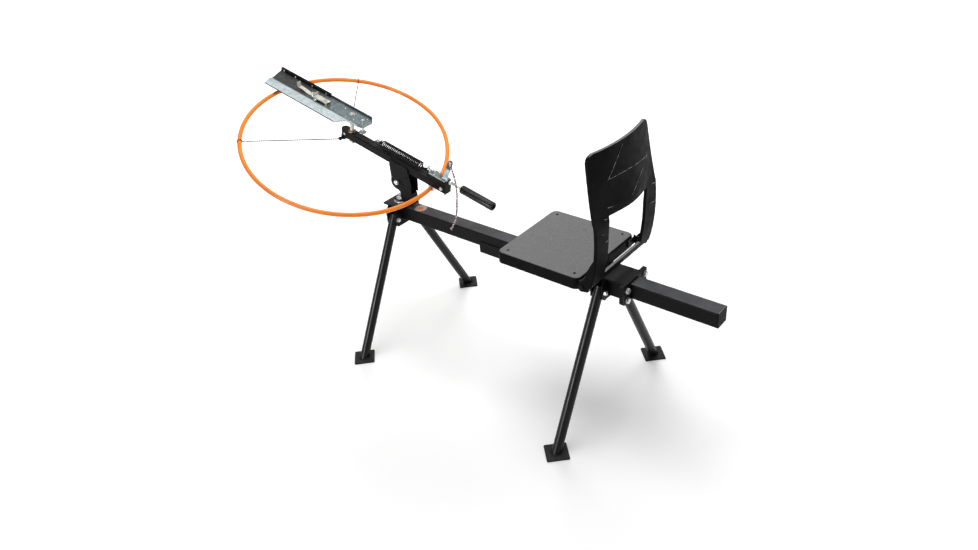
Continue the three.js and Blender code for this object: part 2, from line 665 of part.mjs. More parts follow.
function makeRing() {
  const path = ringPath();
  const last = path.length - 1;
  const ring = intoHead(tubeAlong(path, RING.tube, last, 12));
  add(head, 'guard_ring', ring, 'orange_plastic');

  const clipBlock = block(-8, 14, 139, 160, BAR.bottom - 21, BAR.bottom - GAP);
  const clearance = intoHead(tubeAlong(path, RING.tube + 0.6, last, 12));
  const mouth = block(-20, 30, 130, 170, BAR.bottom - 60, BAR.bottom - 17);
  add(head, 'ring_clip', cut(clipBlock, clearance, mouth), 'zinc');

  const cross = { y: BAR.nose + 7, z: BAR.bottom - 11, reach: 22 };
  const anchor = join(
    block(-9, 9, cross.y - 7, cross.y + 7, cross.z - 7, BAR.bottom - GAP),
    rod('x', 5, -cross.reach, cross.reach, 14).translate(0, cross.y, cross.z),
  );
  add(head, 'stay_anchor', anchor, 'black_paint');

  for (const [name, side, along] of STAYS) {
    const onRing = path[Math.round(along * last)].clone();
    const start = head.localToWorld(new THREE.Vector3(side * (cross.reach + 2), cross.y, cross.z));
    const direction = onRing.clone().sub(start).normalize();
    const end = onRing.clone().addScaledVector(direction, -RING.tube - 0.5);
    add(head, `ring_stay_${name}`, intoHead(straightWire(start, end, 1.6)), 'zinc');
  }
}

// ---------------------------------------------------------------- throwing arm

function makeArm() {
  const { floor, sheet, far, wallTop, foot, near, flange, lip } = ARM;
  const section = polygon([
    [far, floor], [foot + 1, floor], [near + 1, lip - sheet], [flange, lip - sheet], [flange, lip],
    [near - 1, lip], [foot - 1, floor + sheet], [far + sheet, floor + sheet],
    [far + sheet, wallTop], [far, wallTop],
  ]);
  const bar = alongY(prism(section, 520), -145);
  const plan = polygon([
    [far - 1, -643], [flange + 1, -599], [flange + 1, -239], [near + 6, -217], [near + 4, -217],
    [near + 1, -171], [27, -152], [-14, -152], [far - 1, -173],
  ]);
  const outline = prism(plan, 40).translate(0, 0, floor - 5);
  const channel = cut(
    common(bar, outline),
    rod('z', SPINDLE.radius + 0.4, 100, 200, 16).translate(0, SPINDLE.y, 0),
    rod('z', CRANK_PIN.radius + 0.4, 100, 200, 12).translate(0, CRANK_PIN.y, 0),
  );
  add(head, 'throwing_arm', channel, 'galvanised');

  const cap = 3;
  const railOutline = polygon([
    [far - GAP, wallTop - 8], [far - GAP, wallTop + GAP], [far + sheet + GAP, wallTop + GAP],
    [far + sheet + GAP, floor + sheet + GAP], [far + sheet + 4, floor + sheet + GAP],
    [far + sheet + 4, wallTop + cap], [far - cap, wallTop + cap], [far - cap, wallTop - 8],
  ]);
  add(head, 'arm_rail', alongY(prism(railOutline, 262), -377), 'black_rubber');

  const hubTop = floor - GAP;
  const rivet = floor + sheet + GAP;
  const spindle = turned([
    [0, BAR.bottom - 10], [11, BAR.bottom - 10], [11, BAR.bottom - 1], [SPINDLE.radius, BAR.bottom - 1],
    [SPINDLE.radius, floor - 16], [19, floor - 16], [19, hubTop], [SPINDLE.radius, hubTop],
    [SPINDLE.radius, rivet], [12, rivet], [12, rivet + 3], [0, rivet + 3],
  ], 20).translate(0, SPINDLE.y, 0);
  add(head, 'spindle', spindle, 'zinc');

  const r = CRANK_PIN.radius;
  const collar = LINK.top + 0.6;
  const pin = turned([
    [0, collar], [CRANK_PIN.collar, collar], [CRANK_PIN.collar, collar + 2.4], [r, collar + 2.4],
    [r, floor - 9], [9, floor - 9], [9, hubTop], [r, hubTop], [r, rivet], [7.5, rivet],
    [7.5, rivet + 2.5], [0, rivet + 2.5],
  ], 18).translate(0, CRANK_PIN.y, 0);
  add(head, 'crank_pin', pin, 'zinc');
}

function makeTargetClip() {
  const base = ARM.floor + ARM.sheet + GAP;
  const strip = alongX(prism(polygon([
    [-388, base], [-388, base + 2], [-443, base + 2], [-479, base + 8], [-495, base + 8],
    [-499, base + 24], [-501, base + 24], [-498, base + 6], [-479, base + 6], [-444, base],
  ]), 16), 2);
  const channel = cut(
    block(9, 32, -401, -334, base, base + 15),
    block(11, 30, -405, -330, base + 2, base + 13),
  );
  const pinHole = rod('x', 3.4, -20, 60, 12).translate(0, -386, base + 8);
  add(head, 'target_clip', cut(join(strip, channel), pinHole), 'zinc');
}

// ---------------------------------------------------------------- pull cord

// The doubled cord goes through the lever's eye, past the handle and hangs by the beam.
const CORD_ROUTE = [
  [-21, -467, 708.4], [-16.3, -467, 710.6], [-11, -464, 711], [-6, -455, 704], [0, -444, 692],
  [6, -434, 680], [13, -424, 668], [20, -416, 655], [25, -411, 641], [28, -409, 626],
  [31, -409, 606], [33, -410, 586], [35, -412, 566], [37, -415, 547], [38, -421, 530],
  [39, -428, 516], [39, -435, 504],
];

function makeCord() {
  const points = CORD_ROUTE.map((p) => new THREE.Vector3(...p));
  add(head, 'pull_cord', intoHead(tubeAlong(points, 1.75, 44, 8)), 'cord_yarn');
  const knot = new THREE.SphereGeometry(5, 10, 6).scale(1, 1, 1.2).translate(39.5, -439.5, 496.5);
  add(head, 'cord_knot', intoHead(knot), 'cord_yarn');
}

// ---------------------------------------------------------------- assembly

makeBeam();
makeBrackets();
makeLegs();
makeSeat();
makeSeatBack();
makeSwivel();
makeBar();
makeHandle();
makeSpring();
makeRelease();
makeRing();
makeArm();
makeTargetClip();
makeCord();

// The origin goes to the middle of the footprint, on the ground.
const thrower = new THREE.Group();
thrower.name = 'seated_target_thrower';
thrower.add(stand);
thrower.updateMatrixWorld(true);
const extent = new THREE.Box3().setFromObject(thrower);
const centre = extent.getCenter(new THREE.Vector3());
stand.position.set(-centre.x, -centre.y, -extent.min.z);
thrower.updateMatrixWorld(true);

export default thrower;
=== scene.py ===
"""Looks of a seated clay-target thrower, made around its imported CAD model.

Points are in metres in the CAD frame, and at() and on_head() make them from millimetres: at() in
the beam's frame (x across, y along the beam, z up from the ground), on_head() in the tilting
head's frame (y along its bar, z square to it, origin on the tilt bolt). Radii, widths and heights
are in millimetres, except in node materials, which are in metres.
"""

import json
import random
from math import atan, copysign, cos, hypot, pi, radians, sin, tan

import bpy
from mathutils import Matrix, Vector
from mathutils.bvhtree import BVHTree
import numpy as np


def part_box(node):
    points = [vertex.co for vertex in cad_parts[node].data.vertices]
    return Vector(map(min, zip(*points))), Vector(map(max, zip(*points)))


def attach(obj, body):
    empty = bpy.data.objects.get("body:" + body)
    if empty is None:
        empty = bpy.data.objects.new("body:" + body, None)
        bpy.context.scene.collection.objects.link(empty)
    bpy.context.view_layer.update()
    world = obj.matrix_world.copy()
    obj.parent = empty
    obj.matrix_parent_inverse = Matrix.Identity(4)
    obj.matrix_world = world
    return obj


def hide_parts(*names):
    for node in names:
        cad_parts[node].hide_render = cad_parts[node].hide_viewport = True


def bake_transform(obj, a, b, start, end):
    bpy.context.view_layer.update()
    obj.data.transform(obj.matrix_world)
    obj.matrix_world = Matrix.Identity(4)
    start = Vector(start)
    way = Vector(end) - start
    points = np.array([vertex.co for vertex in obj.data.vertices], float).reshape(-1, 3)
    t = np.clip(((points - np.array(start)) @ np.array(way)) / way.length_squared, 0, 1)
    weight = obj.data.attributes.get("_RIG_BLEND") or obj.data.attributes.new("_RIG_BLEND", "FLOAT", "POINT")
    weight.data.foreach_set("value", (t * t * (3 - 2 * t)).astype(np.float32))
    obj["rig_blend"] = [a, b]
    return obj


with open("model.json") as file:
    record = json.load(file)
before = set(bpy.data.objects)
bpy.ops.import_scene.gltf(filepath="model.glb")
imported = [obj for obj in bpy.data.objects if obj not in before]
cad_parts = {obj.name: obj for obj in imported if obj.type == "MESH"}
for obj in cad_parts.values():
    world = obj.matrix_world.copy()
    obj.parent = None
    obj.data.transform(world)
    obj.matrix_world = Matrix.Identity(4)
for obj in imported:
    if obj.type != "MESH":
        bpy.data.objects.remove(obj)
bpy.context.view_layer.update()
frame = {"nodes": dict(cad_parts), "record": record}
RANDOM = random.Random(7)
MM = 0.001
TAU = 2 * pi

# ---- places

# of the beam's frame
BEAM_FRONT, BEAM_TOP, BEAM_BOTTOM = -752, 508, 457.2
SWIVEL_Y, REAR_LEG_Y = -708, 147
TILT_Y, TILT_Z = -698, 596
BRACKET_INNER, BRACKET_PLATE, BRACKET_TOP = 16.4, 5, 6
LEG_TOP, LEG_FOOT = (42, 478), (293, 5)
LEG_SLOPE = (LEG_FOOT[0] - LEG_TOP[0]) / (LEG_TOP[1] - LEG_FOOT[1])
# of the head's frame
BAR_TOP, ARM_TOP = 104, 153.0
SPINDLE_Y, CRANK_Y = -238, -185

beam_low, beam_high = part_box("main_beam")
ORIGIN = Vector(((beam_low.x + beam_high.x) / 2, beam_low.y - BEAM_FRONT * MM, 0))
HEAD_TILT = radians(13)


def at(x, y, z):
    return ORIGIN + Vector((x, y, z)) * MM


HEAD = Matrix.Translation(at(0, TILT_Y, TILT_Z)) @ Matrix.Rotation(-HEAD_TILT, 4, "X")


def on_head(x, y, z):
    return HEAD @ (Vector((x, y, z)) * MM)


def place(origin, along, side=None):
    """A matrix for parts turned about their own z: its z looks along, its x towards side."""
    z = Vector(along).normalized()
    x = Vector(side) if side else z.orthogonal()
    x = (x - z * x.dot(z)).normalized()
    y = z.cross(x)
    m = Matrix((x, y, z)).transposed().to_4x4()
    m.translation = origin
    return m


X, Y, Z = Vector((1, 0, 0)), Vector((0, 1, 0)), Vector((0, 0, 1))
UPSIDE_DOWN = Matrix.Rotation(pi, 4, "X")
HEAD_Y = HEAD.to_3x3() @ Y
HEAD_Z = HEAD.to_3x3() @ Z


def fit(x, y, z, along=HEAD_Z, side=None):
    """A matrix at a point of the head, its z square to the head's bar unless along says otherwise."""
    return place(on_head(x, y, z), along, side)


def around(count):
    """Evenly spaced angles of a full turn."""
    return [TAU * i / count for i in range(count)]


def polar(matrix, radius, angle, z):
    """A point by radius, angle and height, in mm, in the frame of matrix."""
    return matrix @ (Vector((radius * cos(angle), radius * sin(angle), z)) * MM)


def link(obj):
    bpy.context.scene.collection.objects.link(obj)
    return obj


# ---- camera

VIEW_POINT = at(1813.0, 1302.9, 1891.4)
VIEW_RIGHT = (-0.62795, 0.77423, -0.07902)
VIEW_UP = (-0.46215, -0.28928, 0.83829)
VIEW_BACK = (0.62617, 0.56292, 0.53946)
SENSOR = 36
FOCAL_PIXELS, FRAME_WIDTH = 850, 978

camera_data = bpy.data.cameras.new("camera")
camera_data.sensor_width = SENSOR
camera_data.lens = FOCAL_PIXELS * SENSOR / FRAME_WIDTH
camera = link(bpy.data.objects.new("camera", camera_data))
camera.matrix_world = Matrix.Translation(VIEW_POINT) @ (
    Matrix((VIEW_RIGHT, VIEW_UP, VIEW_BACK)).transposed().to_4x4())
bpy.context.scene.camera = camera

# ---- node materials


class Paint:
    """A small wrapper that builds one node material."""

    def __init__(self, name, **sockets):
        self.material = bpy.data.materials.new(name)
        self.material.use_nodes = True
        self.tree = self.material.node_tree
        self.tree.nodes.clear()
        self.shader = self.node("BsdfPrincipled")
        self.put(self.node("OutputMaterial").inputs["Surface"], self.shader.outputs[0])
        for socket, value in sockets.items():
            self.shader.inputs[socket.replace("_", " ")].default_value = value
        coordinates = self.node("TexCoord")
        self.place = coordinates.outputs["Object"]
        self.facing = coordinates.outputs["Normal"]

    def node(self, kind, **settings):
        made = self.tree.nodes.new("ShaderNode" + kind)
        for key, value in settings.items():
            setattr(made, key, value)
        return made

    def put(self, socket, value):
        if isinstance(value, bpy.types.NodeSocket):
            self.tree.links.new(value, socket)
        else:
            socket.default_value = value

    def fill(self, kind, sockets, **settings):
        """A node with its named inputs given as values or as links."""
        made = self.node(kind, **settings)
        for socket, value in sockets.items():
            self.put(made.inputs[socket], value)
        return made.outputs

    def noise(self, scale, detail=3, rough=0.5, stretch=None):
        where = self.place
        if stretch:
            where = self.fill("Mapping", {"Vector": where, "Scale": stretch})["Vector"]
        return self.fill("TexNoise", {"Scale": scale, "Detail": detail, "Roughness": rough,
                                      "Vector": where})["Fac"]

    def cells(self, scale, feature="F1", output="Distance"):
        return self.fill("TexVoronoi", {"Scale": scale, "Vector": self.place}, feature=feature)[output]

    def times(self, first, second):
        return self.fill("Math", {0: first, 1: second}, operation="MULTIPLY")[0]

    def vector(self, operation, first, second, output=0):
        return self.fill("VectorMath", {0: first, 1: second}, operation=operation)[output]

    def spread(self, value, low, high, to_low=0.0, to_high=1.0):
        return self.fill("MapRange", dict(enumerate((value, low, high, to_low, to_high))))[0]

    def patches(self, scale, detail, low, high, to_low=0.0, to_high=1.0, rough=0.5):
        return self.spread(self.noise(scale, detail, rough), low, high, to_low, to_high)

    def mottle(self, first, second, scale, detail, low, high, rough=0.5):
        """The first colour with soft patches of the second."""
        return self.blend(self.patches(scale, detail, low, high, rough=rough), first, second)

    def uneven(self, scale, detail, low, high, rough=0.5):
        """Roughness that drifts between two values."""
        return self.patches(scale, detail, 0.3, 0.7, low, high, rough)

    def grain(self, scale, detail, strength, distance, under=None):
        return self.bump(self.noise(scale, detail), strength, distance, under)

    def blend(self, factor, first, second):
        first, second = [(*c, 1) if isinstance(c, tuple) else c for c in (first, second)]
        return self.fill("Mix", {0: factor, 6: first, 7: second}, data_type="RGBA")[2]

    def edges(self, radius):
        """0 on flat ground, towards 1 on outside edges."""
        rounded = self.fill("Bevel", {"Radius": radius}, samples=4)[0]
        square = self.node("NewGeometry").outputs["Normal"]
        return self.spread(self.vector("DOT_PRODUCT", rounded, square, "Value"), 0.985, 0.8)

    def upward(self, low=0.7, high=0.97):
        """1 on faces that look up, where the painted top light goes."""
        return self.spread(self.fill("SeparateXYZ", {0: self.facing})["Z"], low, high)

    def bump(self, height, strength, distance, under=None):
        sockets = {"Strength": strength, "Distance": distance, "Height": height}
        if under:
            sockets["Normal"] = under
        return self.fill("Bump", sockets)[0]

    def shine(self, low, high):
        """Little mirror on upright faces, more on faces that look up."""
        self.put(self.shader.inputs["Specular IOR Level"], self.spread(self.upward(), 0, 1, low, high))

    def finish(self, colour, roughness, normal):
        for socket, value in (("Base Color", colour), ("Roughness", roughness), ("Normal", normal)):
            self.put(self.shader.inputs[socket], value)
        return self.material


def painted(name, amount):
    """Black paint over steel, with painted top light: its upper faces are painted grey in patches, as lit from
    above, as far as the second argument says. Its edges are lighter in patches, partly rubbed wear and partly a
    painted edge highlight.
    """
    p = Paint(name)
    base = p.mottle((0.0036, 0.0029, 0.0031), (0.0066, 0.0053, 0.0057), 7, 4, 0.35, 0.65)
    speckled = p.mottle(base, (0.022, 0.021, 0.020), 420, 2, 0.7, 0.78)
    # Painted top light: faces that look up are painted grey in patches.
    top_light_patches = p.times(p.upward(), p.patches(18, 5, 0.3, 0.62, 0.6 * amount, amount))
    top_lit = p.blend(top_light_patches, speckled, (0.080, 0.081, 0.085))
    # Edges lighter in patches: rubbed wear, and a painted edge highlight.
    rubbed_and_lit_edges = p.times(p.edges(0.0012), p.patches(55, 4, 0.5, 0.68, rough=0.7))
    p.shine(0.08, 0.34)
    return p.finish(p.blend(rubbed_and_lit_edges, top_lit, (0.10, 0.098, 0.095)), p.uneven(30, 5, 0.34, 0.5, 0.65),
                    p.grain(60, 3, 0.08, 0.0012, p.grain(900, 2, 0.25, 0.0002)))


def from_pivot(p, along, low, high):
    """0 to 1 between two distances, in mm, from the head's tilt pivot."""
    away = p.vector("SUBTRACT", p.place, HEAD.translation)
    return p.spread(p.vector("DOT_PRODUCT", away, along, "Value"), low * MM, high * MM)


def galvanised():
    """Spangled zinc with painted light and shade: the arm's raised flange is painted light, its trough is
    painted in shade and darker towards its tip, its cut edges and side faces are painted dark, and outside
    edges carry a painted highlight.
    """
    p = Paint("galvanised")
    shade = p.fill("SeparateColor", {0: p.cells(95, output="Color")})
    spangle = shade[0]
    # Painted light and shade: the raised flange is painted light and the trough painted in shade, darker
    # towards the tip.
    lit_raised_flange = from_pivot(p, HEAD_Z, 153.5, 159.5)
    tip = from_pivot(p, -HEAD_Y, 330, 480)
    shaded_trough = p.blend(tip, p.blend(spangle, (0.23, 0.29, 0.31), (0.36, 0.43, 0.45)),
                     p.blend(spangle, (0.085, 0.085, 0.085), (0.15, 0.15, 0.15)))
    base = p.blend(lit_raised_flange, shaded_trough, p.blend(spangle, (0.52, 0.62, 0.64), (0.72, 0.80, 0.82)))
    # The flange is less metallic, which lightens it further.
    p.put(p.shader.inputs["Metallic"], p.spread(lit_raised_flange, 0, 1, 0.85, 0.45))
    # Painted shade: cut edges and side faces below the flange top are painted dark.
    shaded_sides = p.fill("Math", {0: 1.0, 1: p.upward()}, operation="SUBTRACT")[0]
    base = p.blend(p.times(from_pivot(p, HEAD_Z, 140, 145), shaded_sides), base, (0.075, 0.085, 0.09))
    stained = p.blend(p.times(p.patches(22, 5, 0.5, 0.72, rough=0.65), 0.35), base, (0.16, 0.185, 0.19))
    drawn = p.bump(p.noise(1, 3, stretch=(700, 60, 700)), 0.12, 0.0003)
    # Painted highlight: outside edges are painted near white.
    return p.finish(p.blend(p.times(p.edges(0.0011), 0.85), stained, (0.9, 0.93, 0.94)),
                    p.spread(shade[1], 0, 1, 0.3, 0.44), p.bump(shade[2], 0.06, 0.0006, drawn))


def seat_plastic():
    p = Paint("seat_plastic")
    base = p.mottle((0.003, 0.003, 0.0031), (0.0055, 0.0055, 0.0057), 9, 4, 0.35, 0.65)
    scuffs = p.spread(p.noise(1, 5, 0.7, (34, 7, 34)), 0.6, 0.75)
    marked = p.blend(p.times(scuffs, 0.35), base, (0.02, 0.02, 0.021))
    speckled = p.mottle(marked, (0.018, 0.018, 0.019), 520, 2, 0.68, 0.76)
    # Faces that look up are painted a lighter grey: a painted top sheen, as lit from above.
    grain = p.mottle((0.132, 0.132, 0.133), (0.172, 0.172, 0.173), 260, 3, 0.4, 0.62, 0.6)
    p.shine(0.04, 0.3)
    leather = p.bump(p.cells(620, "DISTANCE_TO_EDGE"), 0.35, 0.0004)
    return p.finish(p.blend(p.upward(0.8, 0.99), speckled, grain), p.uneven(40, 4, 0.42, 0.6),
                    p.grain(1500, 2, 0.2, 0.0001, leather))


def orange_plastic():
    p = Paint("orange_plastic", Specular_IOR_Level=0.4)
    base = p.mottle((0.92, 0.205, 0.008), (0.98, 0.275, 0.014), 14, 3, 0.3, 0.7)
    scratches = p.spread(p.noise(1, 4, 0.75, (60, 60, 420)), 0.64, 0.72)
    return p.finish(p.blend(p.times(scratches, 0.4), base, (0.95, 0.5, 0.18)),
                    p.uneven(70, 4, 0.34, 0.5), p.grain(500, 3, 0.12, 0.0003))


def braid():
    """White yarn with pink and grey flecks, in short diagonal stitches."""
    p = Paint("braid", Specular_IOR_Level=0.2)
    base = p.mottle((0.85, 0.74, 0.76), (0.24, 0.075, 0.12), 210, 2, 0.47, 0.53)
    return p.finish(p.mottle(base, (0.11, 0.085, 0.095), 160, 2, 0.53, 0.57),
                    p.uneven(400, 2, 0.75, 0.95), p.bump(p.cells(1100, "DISTANCE_TO_EDGE"), 0.6, 0.0006))


BADGE_CENTRE = at(2, -613, 509)
BADGE_FIELD = (0.26, 0.27, 0.28)
BADGE_RINGS = ((0.0225, (0.42, 0.43, 0.44)), (0.0205, (0.20, 0.15, 0.13)), (0.0190, (0.55, 0.34, 0.24)),
               (0.0172, (0.34, 0.35, 0.37)), (0.0128, (0.88, 0.23, 0.02)), (0.0072, (0.05, 0.04, 0.04)),
               (0.0044, (0.88, 0.23, 0.02)))


def badge():
    """Plain rings: a grey rim and an orange middle with a dark ring in it."""
    p = Paint("badge", Specular_IOR_Level=0.5)
    away = p.vector("DISTANCE", p.place, BADGE_CENTRE, "Value")
    colour = BADGE_FIELD
    for radius, ring in BADGE_RINGS:
        colour = p.blend(p.spread(away, radius, radius - 0.0004), colour, ring)
    return p.finish(p.blend(p.times(p.patches(300, 4, 0.6, 0.7), 0.5), colour, (0.2, 0.19, 0.18)),
                    p.uneven(120, 3, 0.3, 0.5), p.grain(500, 2, 0.1, 0.0002))


def plain(name, cloud, specks, uneven, grain, **sockets):
    """Adds a finish: one mottled colour with specks of another, an uneven shine, a fine grain."""
    p = Paint(name, **sockets)
    colour = p.mottle(*cloud)
    if specks:
        colour = p.mottle(colour, *specks)
    FINISH[name] = p.finish(colour, p.uneven(*uneven), p.grain(*grain))


FINISH = {make.__name__: make() for make in (galvanised, seat_plastic, orange_plastic, braid, badge)}
FINISH["cord_yarn"] = FINISH["braid"]
# How far each paint's upper faces are painted grey as painted top light; the beam gets the most.
for coat, top_light_amount in (("black_paint", 0.22), ("beam_paint", 1)):
    FINISH[coat] = painted(coat, top_light_amount)
plain("leg_paint", ((0.003, 0.0027, 0.0028), (0.0065, 0.006, 0.006), 12, 4, 0.35, 0.65), None,
      (40, 5, 0.27, 0.4, 0.65), (700, 2, 0.15, 0.0002), Specular_IOR_Level=0.2)
plain("zinc", ((0.80, 0.81, 0.80), (0.50, 0.51, 0.50), 90, 4, 0.35, 0.7),
      ((0.36, 0.34, 0.29), 240, 3, 0.56, 0.7, 0.6),
      (150, 3, 0.2, 0.42), (800, 2, 0.15, 0.0002), Metallic=0.7)
plain("clip_zinc", ((0.72, 0.71, 0.63), (0.42, 0.41, 0.35), 110, 4, 0.35, 0.7),
      ((0.4, 0.36, 0.27), 300, 3, 0.6, 0.72),
      (150, 3, 0.3, 0.5), (700, 2, 0.2, 0.0002), Metallic=0.25)
plain("black_rubber", ((0.004, 0.004, 0.0043), (0.009, 0.009, 0.0093), 60, 4, 0.4, 0.65),
      ((0.05, 0.05, 0.05), 700, 2, 0.68, 0.75),
      (80, 4, 0.16, 0.3), (1100, 3, 0.12, 0.0002), Specular_IOR_Level=0.3)
plain("bronze", ((0.46, 0.32, 0.14), (0.25, 0.17, 0.08), 260, 4, 0.4, 0.65), None,
      (300, 3, 0.3, 0.5), (900, 2, 0.2, 0.0002), Metallic=0.9)
plain("spring_steel", ((0.004, 0.004, 0.0043), (0.009, 0.009, 0.0095), 160, 4, 0.4, 0.65),
      ((0.04, 0.038, 0.036), 620, 3, 0.64, 0.74),
      (300, 3, 0.42, 0.6), (1200, 2, 0.15, 0.0002), Specular_IOR_Level=0.16)
plain("stay_wire", ((0.13, 0.085, 0.088), (0.04, 0.03, 0.032), 70, 3, 0.42, 0.6), None,
      (300, 3, 0.4, 0.6), (1300, 2, 0.3, 0.0002), Metallic=0.1, Specular_IOR_Level=0.2)
plain("moulded_line", ((0.03, 0.03, 0.03), (0.30, 0.30, 0.31), 60, 4, 0.42, 0.6), None,
      (80, 3, 0.4, 0.6), (900, 2, 0.2, 0.0002), Specular_IOR_Level=0.3)

# ---- mesh building


class Form:
    """Collects closed shells and makes them one piece."""

    def __init__(self):
        self.verts = []
        self.faces = []

    def add(self, verts, faces):
        start = len(self.verts)
        self.verts.extend(verts)
        self.faces.extend([tuple(start + i for i in face) for face in faces])
        return self

    def rings(self, rings, closed=False):
        """Skins a row of equal rings of points. Each ring runs anticlockwise seen from its far side."""
        sides = len(rings[0])
        faces = []
        for i in range(len(rings) if closed else len(rings) - 1):
            a, b = i * sides, (i + 1) % len(rings) * sides
            for j in range(sides):
                k = (j + 1) % sides
                faces.append((a + j, a + k, b + k, b + j))
        if not closed:
            faces.append(tuple(reversed(range(sides))))
            top = (len(rings) - 1) * sides
            faces.append(tuple(range(top, top + sides)))
        return self.add([p for ring in rings for p in ring], faces)

    def turn(self, matrix, profile, sides=32):
        """A closed turned form: profile is [(radius, z)] in mm, bottom to top."""
        return self.rings([[polar(matrix, max(radius, 0.01), a, z) for a in around(sides)]
                           for radius, z in profile])

    def dome(self, matrix, radius, side, shoulder, rise, top, base=0, sides=20):
        """A button head: straight up to side, in to its shoulder at rise, closed at top."""
        return self.turn(matrix, [(radius, base), (radius, side), (shoulder, rise), (0, top)], sides)

    def pipe(self, matrix, profile, sides=32):
        """A turned ring: profile is a closed loop of (radius, z) in mm, anticlockwise."""
        return self.rings([[polar(matrix, r, -a, z) for r, z in profile] for a in around(sides)],
                          closed=True)

    def hexagon(self, matrix, flat, z0, z1, top=True, bottom=False):
        """A hexagon across flats `flat` mm. Top and bottom say where its corners are turned off."""
        inner = flat / 2 * 0.94

        def reach(a):
            return flat / 2 / cos(a % (TAU / 6) - TAU / 12)

        def fall(a):
            return (reach(a) - inner) * tan(radians(30))

        circle = around(36)
        rings = [[polar(matrix, reach(a), a, z0 + fall(a) * bottom) for a in circle],
                 [polar(matrix, reach(a), a, z1 - fall(a) * top) for a in circle]]
        if bottom:
            rings.insert(0, [polar(matrix, inner, a, z0) for a in circle])
        if top:
            rings.append([polar(matrix, inner, a, z1) for a in circle])
        return self.rings(rings)

    def tube(self, points, radius, sides, section=lambda i, angle: 1, closed=False):
        """A tube along points. radius is mm or a function of the point's number; section is a
        function (point number, angle) that scales the radius."""
        n = len(points)
        side = None
        rings = []
        for i, p in enumerate(points):
            before = points[(i - 1) % n] if closed or i else p
            after = points[(i + 1) % n] if closed or i < n - 1 else p
            along = (after - before).normalized()
            side = along.orthogonal() if side is None else side
            side = (side - along * side.dot(along)).normalized()
            up = along.cross(side)
            size = (radius(i) if callable(radius) else radius) * MM
            rings.append([p + (side * cos(a) + up * sin(a)) * size * section(i, a)
                          for a in around(sides)])
        return self.rings(rings, closed=closed)

    def block(self, low, high, matrix=HEAD):
        """A box between two corners in mm, in the head's frame unless matrix says otherwise."""
        corners = [matrix @ (Vector((x, y, z)) * MM)
                   for z in (low[2], high[2]) for y in (low[1], high[1]) for x in (low[0], high[0])]
        return self.add(corners, [(0, 2, 3, 1), (4, 5, 7, 6), (0, 1, 5, 4), (2, 6, 7, 3),
                                  (0, 4, 6, 2), (1, 3, 7, 5)])

    def make(self, name, body, finish="zinc", slot=None, replaces=(), angle=30, bevel=0):
        """One piece on its body, with its finish; slot is not used. Edges steeper than angle stay sharp."""
        mesh = bpy.data.meshes.new(name)
        mesh.from_pydata(self.verts, [], self.faces)
        mesh.validate()
        obj = link(bpy.data.objects.new(name, mesh))
        mesh.shade_smooth()
        mesh.set_sharp_from_angle(angle=radians(angle))
        mesh.materials.append(FINISH[finish])
        if bevel:
            soften(obj, bevel)
        if replaces:
            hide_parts(*replaces)
        if body:
            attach(obj, body)
        return obj


def smooth_by_angle():
    """Nodes that shade all faces smooth and leave steep edges sharp."""
    group = bpy.data.node_groups.new("smooth_by_angle", "GeometryNodeTree")
    for way in ("INPUT", "OUTPUT"):
        group.interface.new_socket("Geometry", in_out=way, socket_type="NodeSocketGeometry")
    start, end, angle, flat, faces, edges = [group.nodes.new(kind) for kind in (
        "NodeGroupInput", "NodeGroupOutput", "GeometryNodeInputMeshEdgeAngle", "FunctionNodeCompare",
        "GeometryNodeSetShadeSmooth", "GeometryNodeSetShadeSmooth")]
    flat.operation = "LESS_EQUAL"
    flat.inputs["B"].default_value = radians(34)
    edges.domain = "EDGE"
    for source, target in ((angle.outputs["Unsigned Angle"], flat.inputs["A"]),
                           (start.outputs[0], faces.inputs["Geometry"]),
                           (faces.outputs[0], edges.inputs["Geometry"]),
                           (flat.outputs["Result"], edges.inputs["Shade Smooth"]),
                           (edges.outputs[0], end.inputs[0])):
        group.links.new(source, target)
    return group


SMOOTH = smooth_by_angle()


def soften(obj, width):
    """Small rounded edges, width in mm, and even shading."""
    bevel = obj.modifiers.new("bevel", "BEVEL")
    bevel.width = width * MM
    bevel.segments = 2
    bevel.limit_method = "ANGLE"
    bevel.angle_limit = radians(38)
    bevel.use_clamp_overlap = True
    shade = obj.modifiers.new("shade", "NODES")
    shade.node_group = SMOOTH
    even = obj.modifiers.new("even", "WEIGHTED_NORMAL")
    even.keep_sharp = True


def spline(points, per_span=8):
    """Points on a smooth curve through the given ones."""
    out = []
    ends = [points[0] * 2 - points[1], *points, points[-1] * 2 - points[-2]]
    for i in range(1, len(ends) - 2):
        a, b, c, d = ends[i - 1:i + 3]
        for k in range(per_span):
            t = k / per_span
            out.append(0.5 * ((2 * b) + (c - a) * t + (2 * a - 5 * b + 4 * c - d) * t * t
                              + (3 * b - a - 3 * c + d) * t ** 3))
    out.append(points[-1].copy())
    return out


def smoothstep(x, low, high):
    t = min(1, max(0, (x - low) / (high - low)))
    return t * t * (3 - 2 * t)


# ---- pull cord

CORD_ROUTE = [
    (-21, -467, 708.4), (-16.3, -467, 710.6), (-11, -464, 711), (-6, -455, 704), (0, -444, 692),
    (6, -434, 680), (13, -424, 668), (20, -416, 655), (25, -411, 641), (28, -409, 626),
    (31, -409, 606), (33, -410, 586), (35, -412, 566), (37, -415, 547), (38, -421, 530),
    (39, -428, 516), (39, -435, 504),
]
CORD_RADIUS = 3.1
KNOT = (39.5, -439.5, 496.5)


def overhand(centre, size, wire, lean=0.4):
    """A small tied lump: a wire wound twice round and through itself."""
    size *= MM
    points = [centre + Vector((size * (sin(t) + 2 * sin(2 * t)) / 3,
                               size * (cos(t) - 2 * cos(2 * t)) / 3,
                               -size * lean * sin(3 * t) * 1.6)) for t in around(60)]
    return Form().tube(points, wire, 8, closed=True)


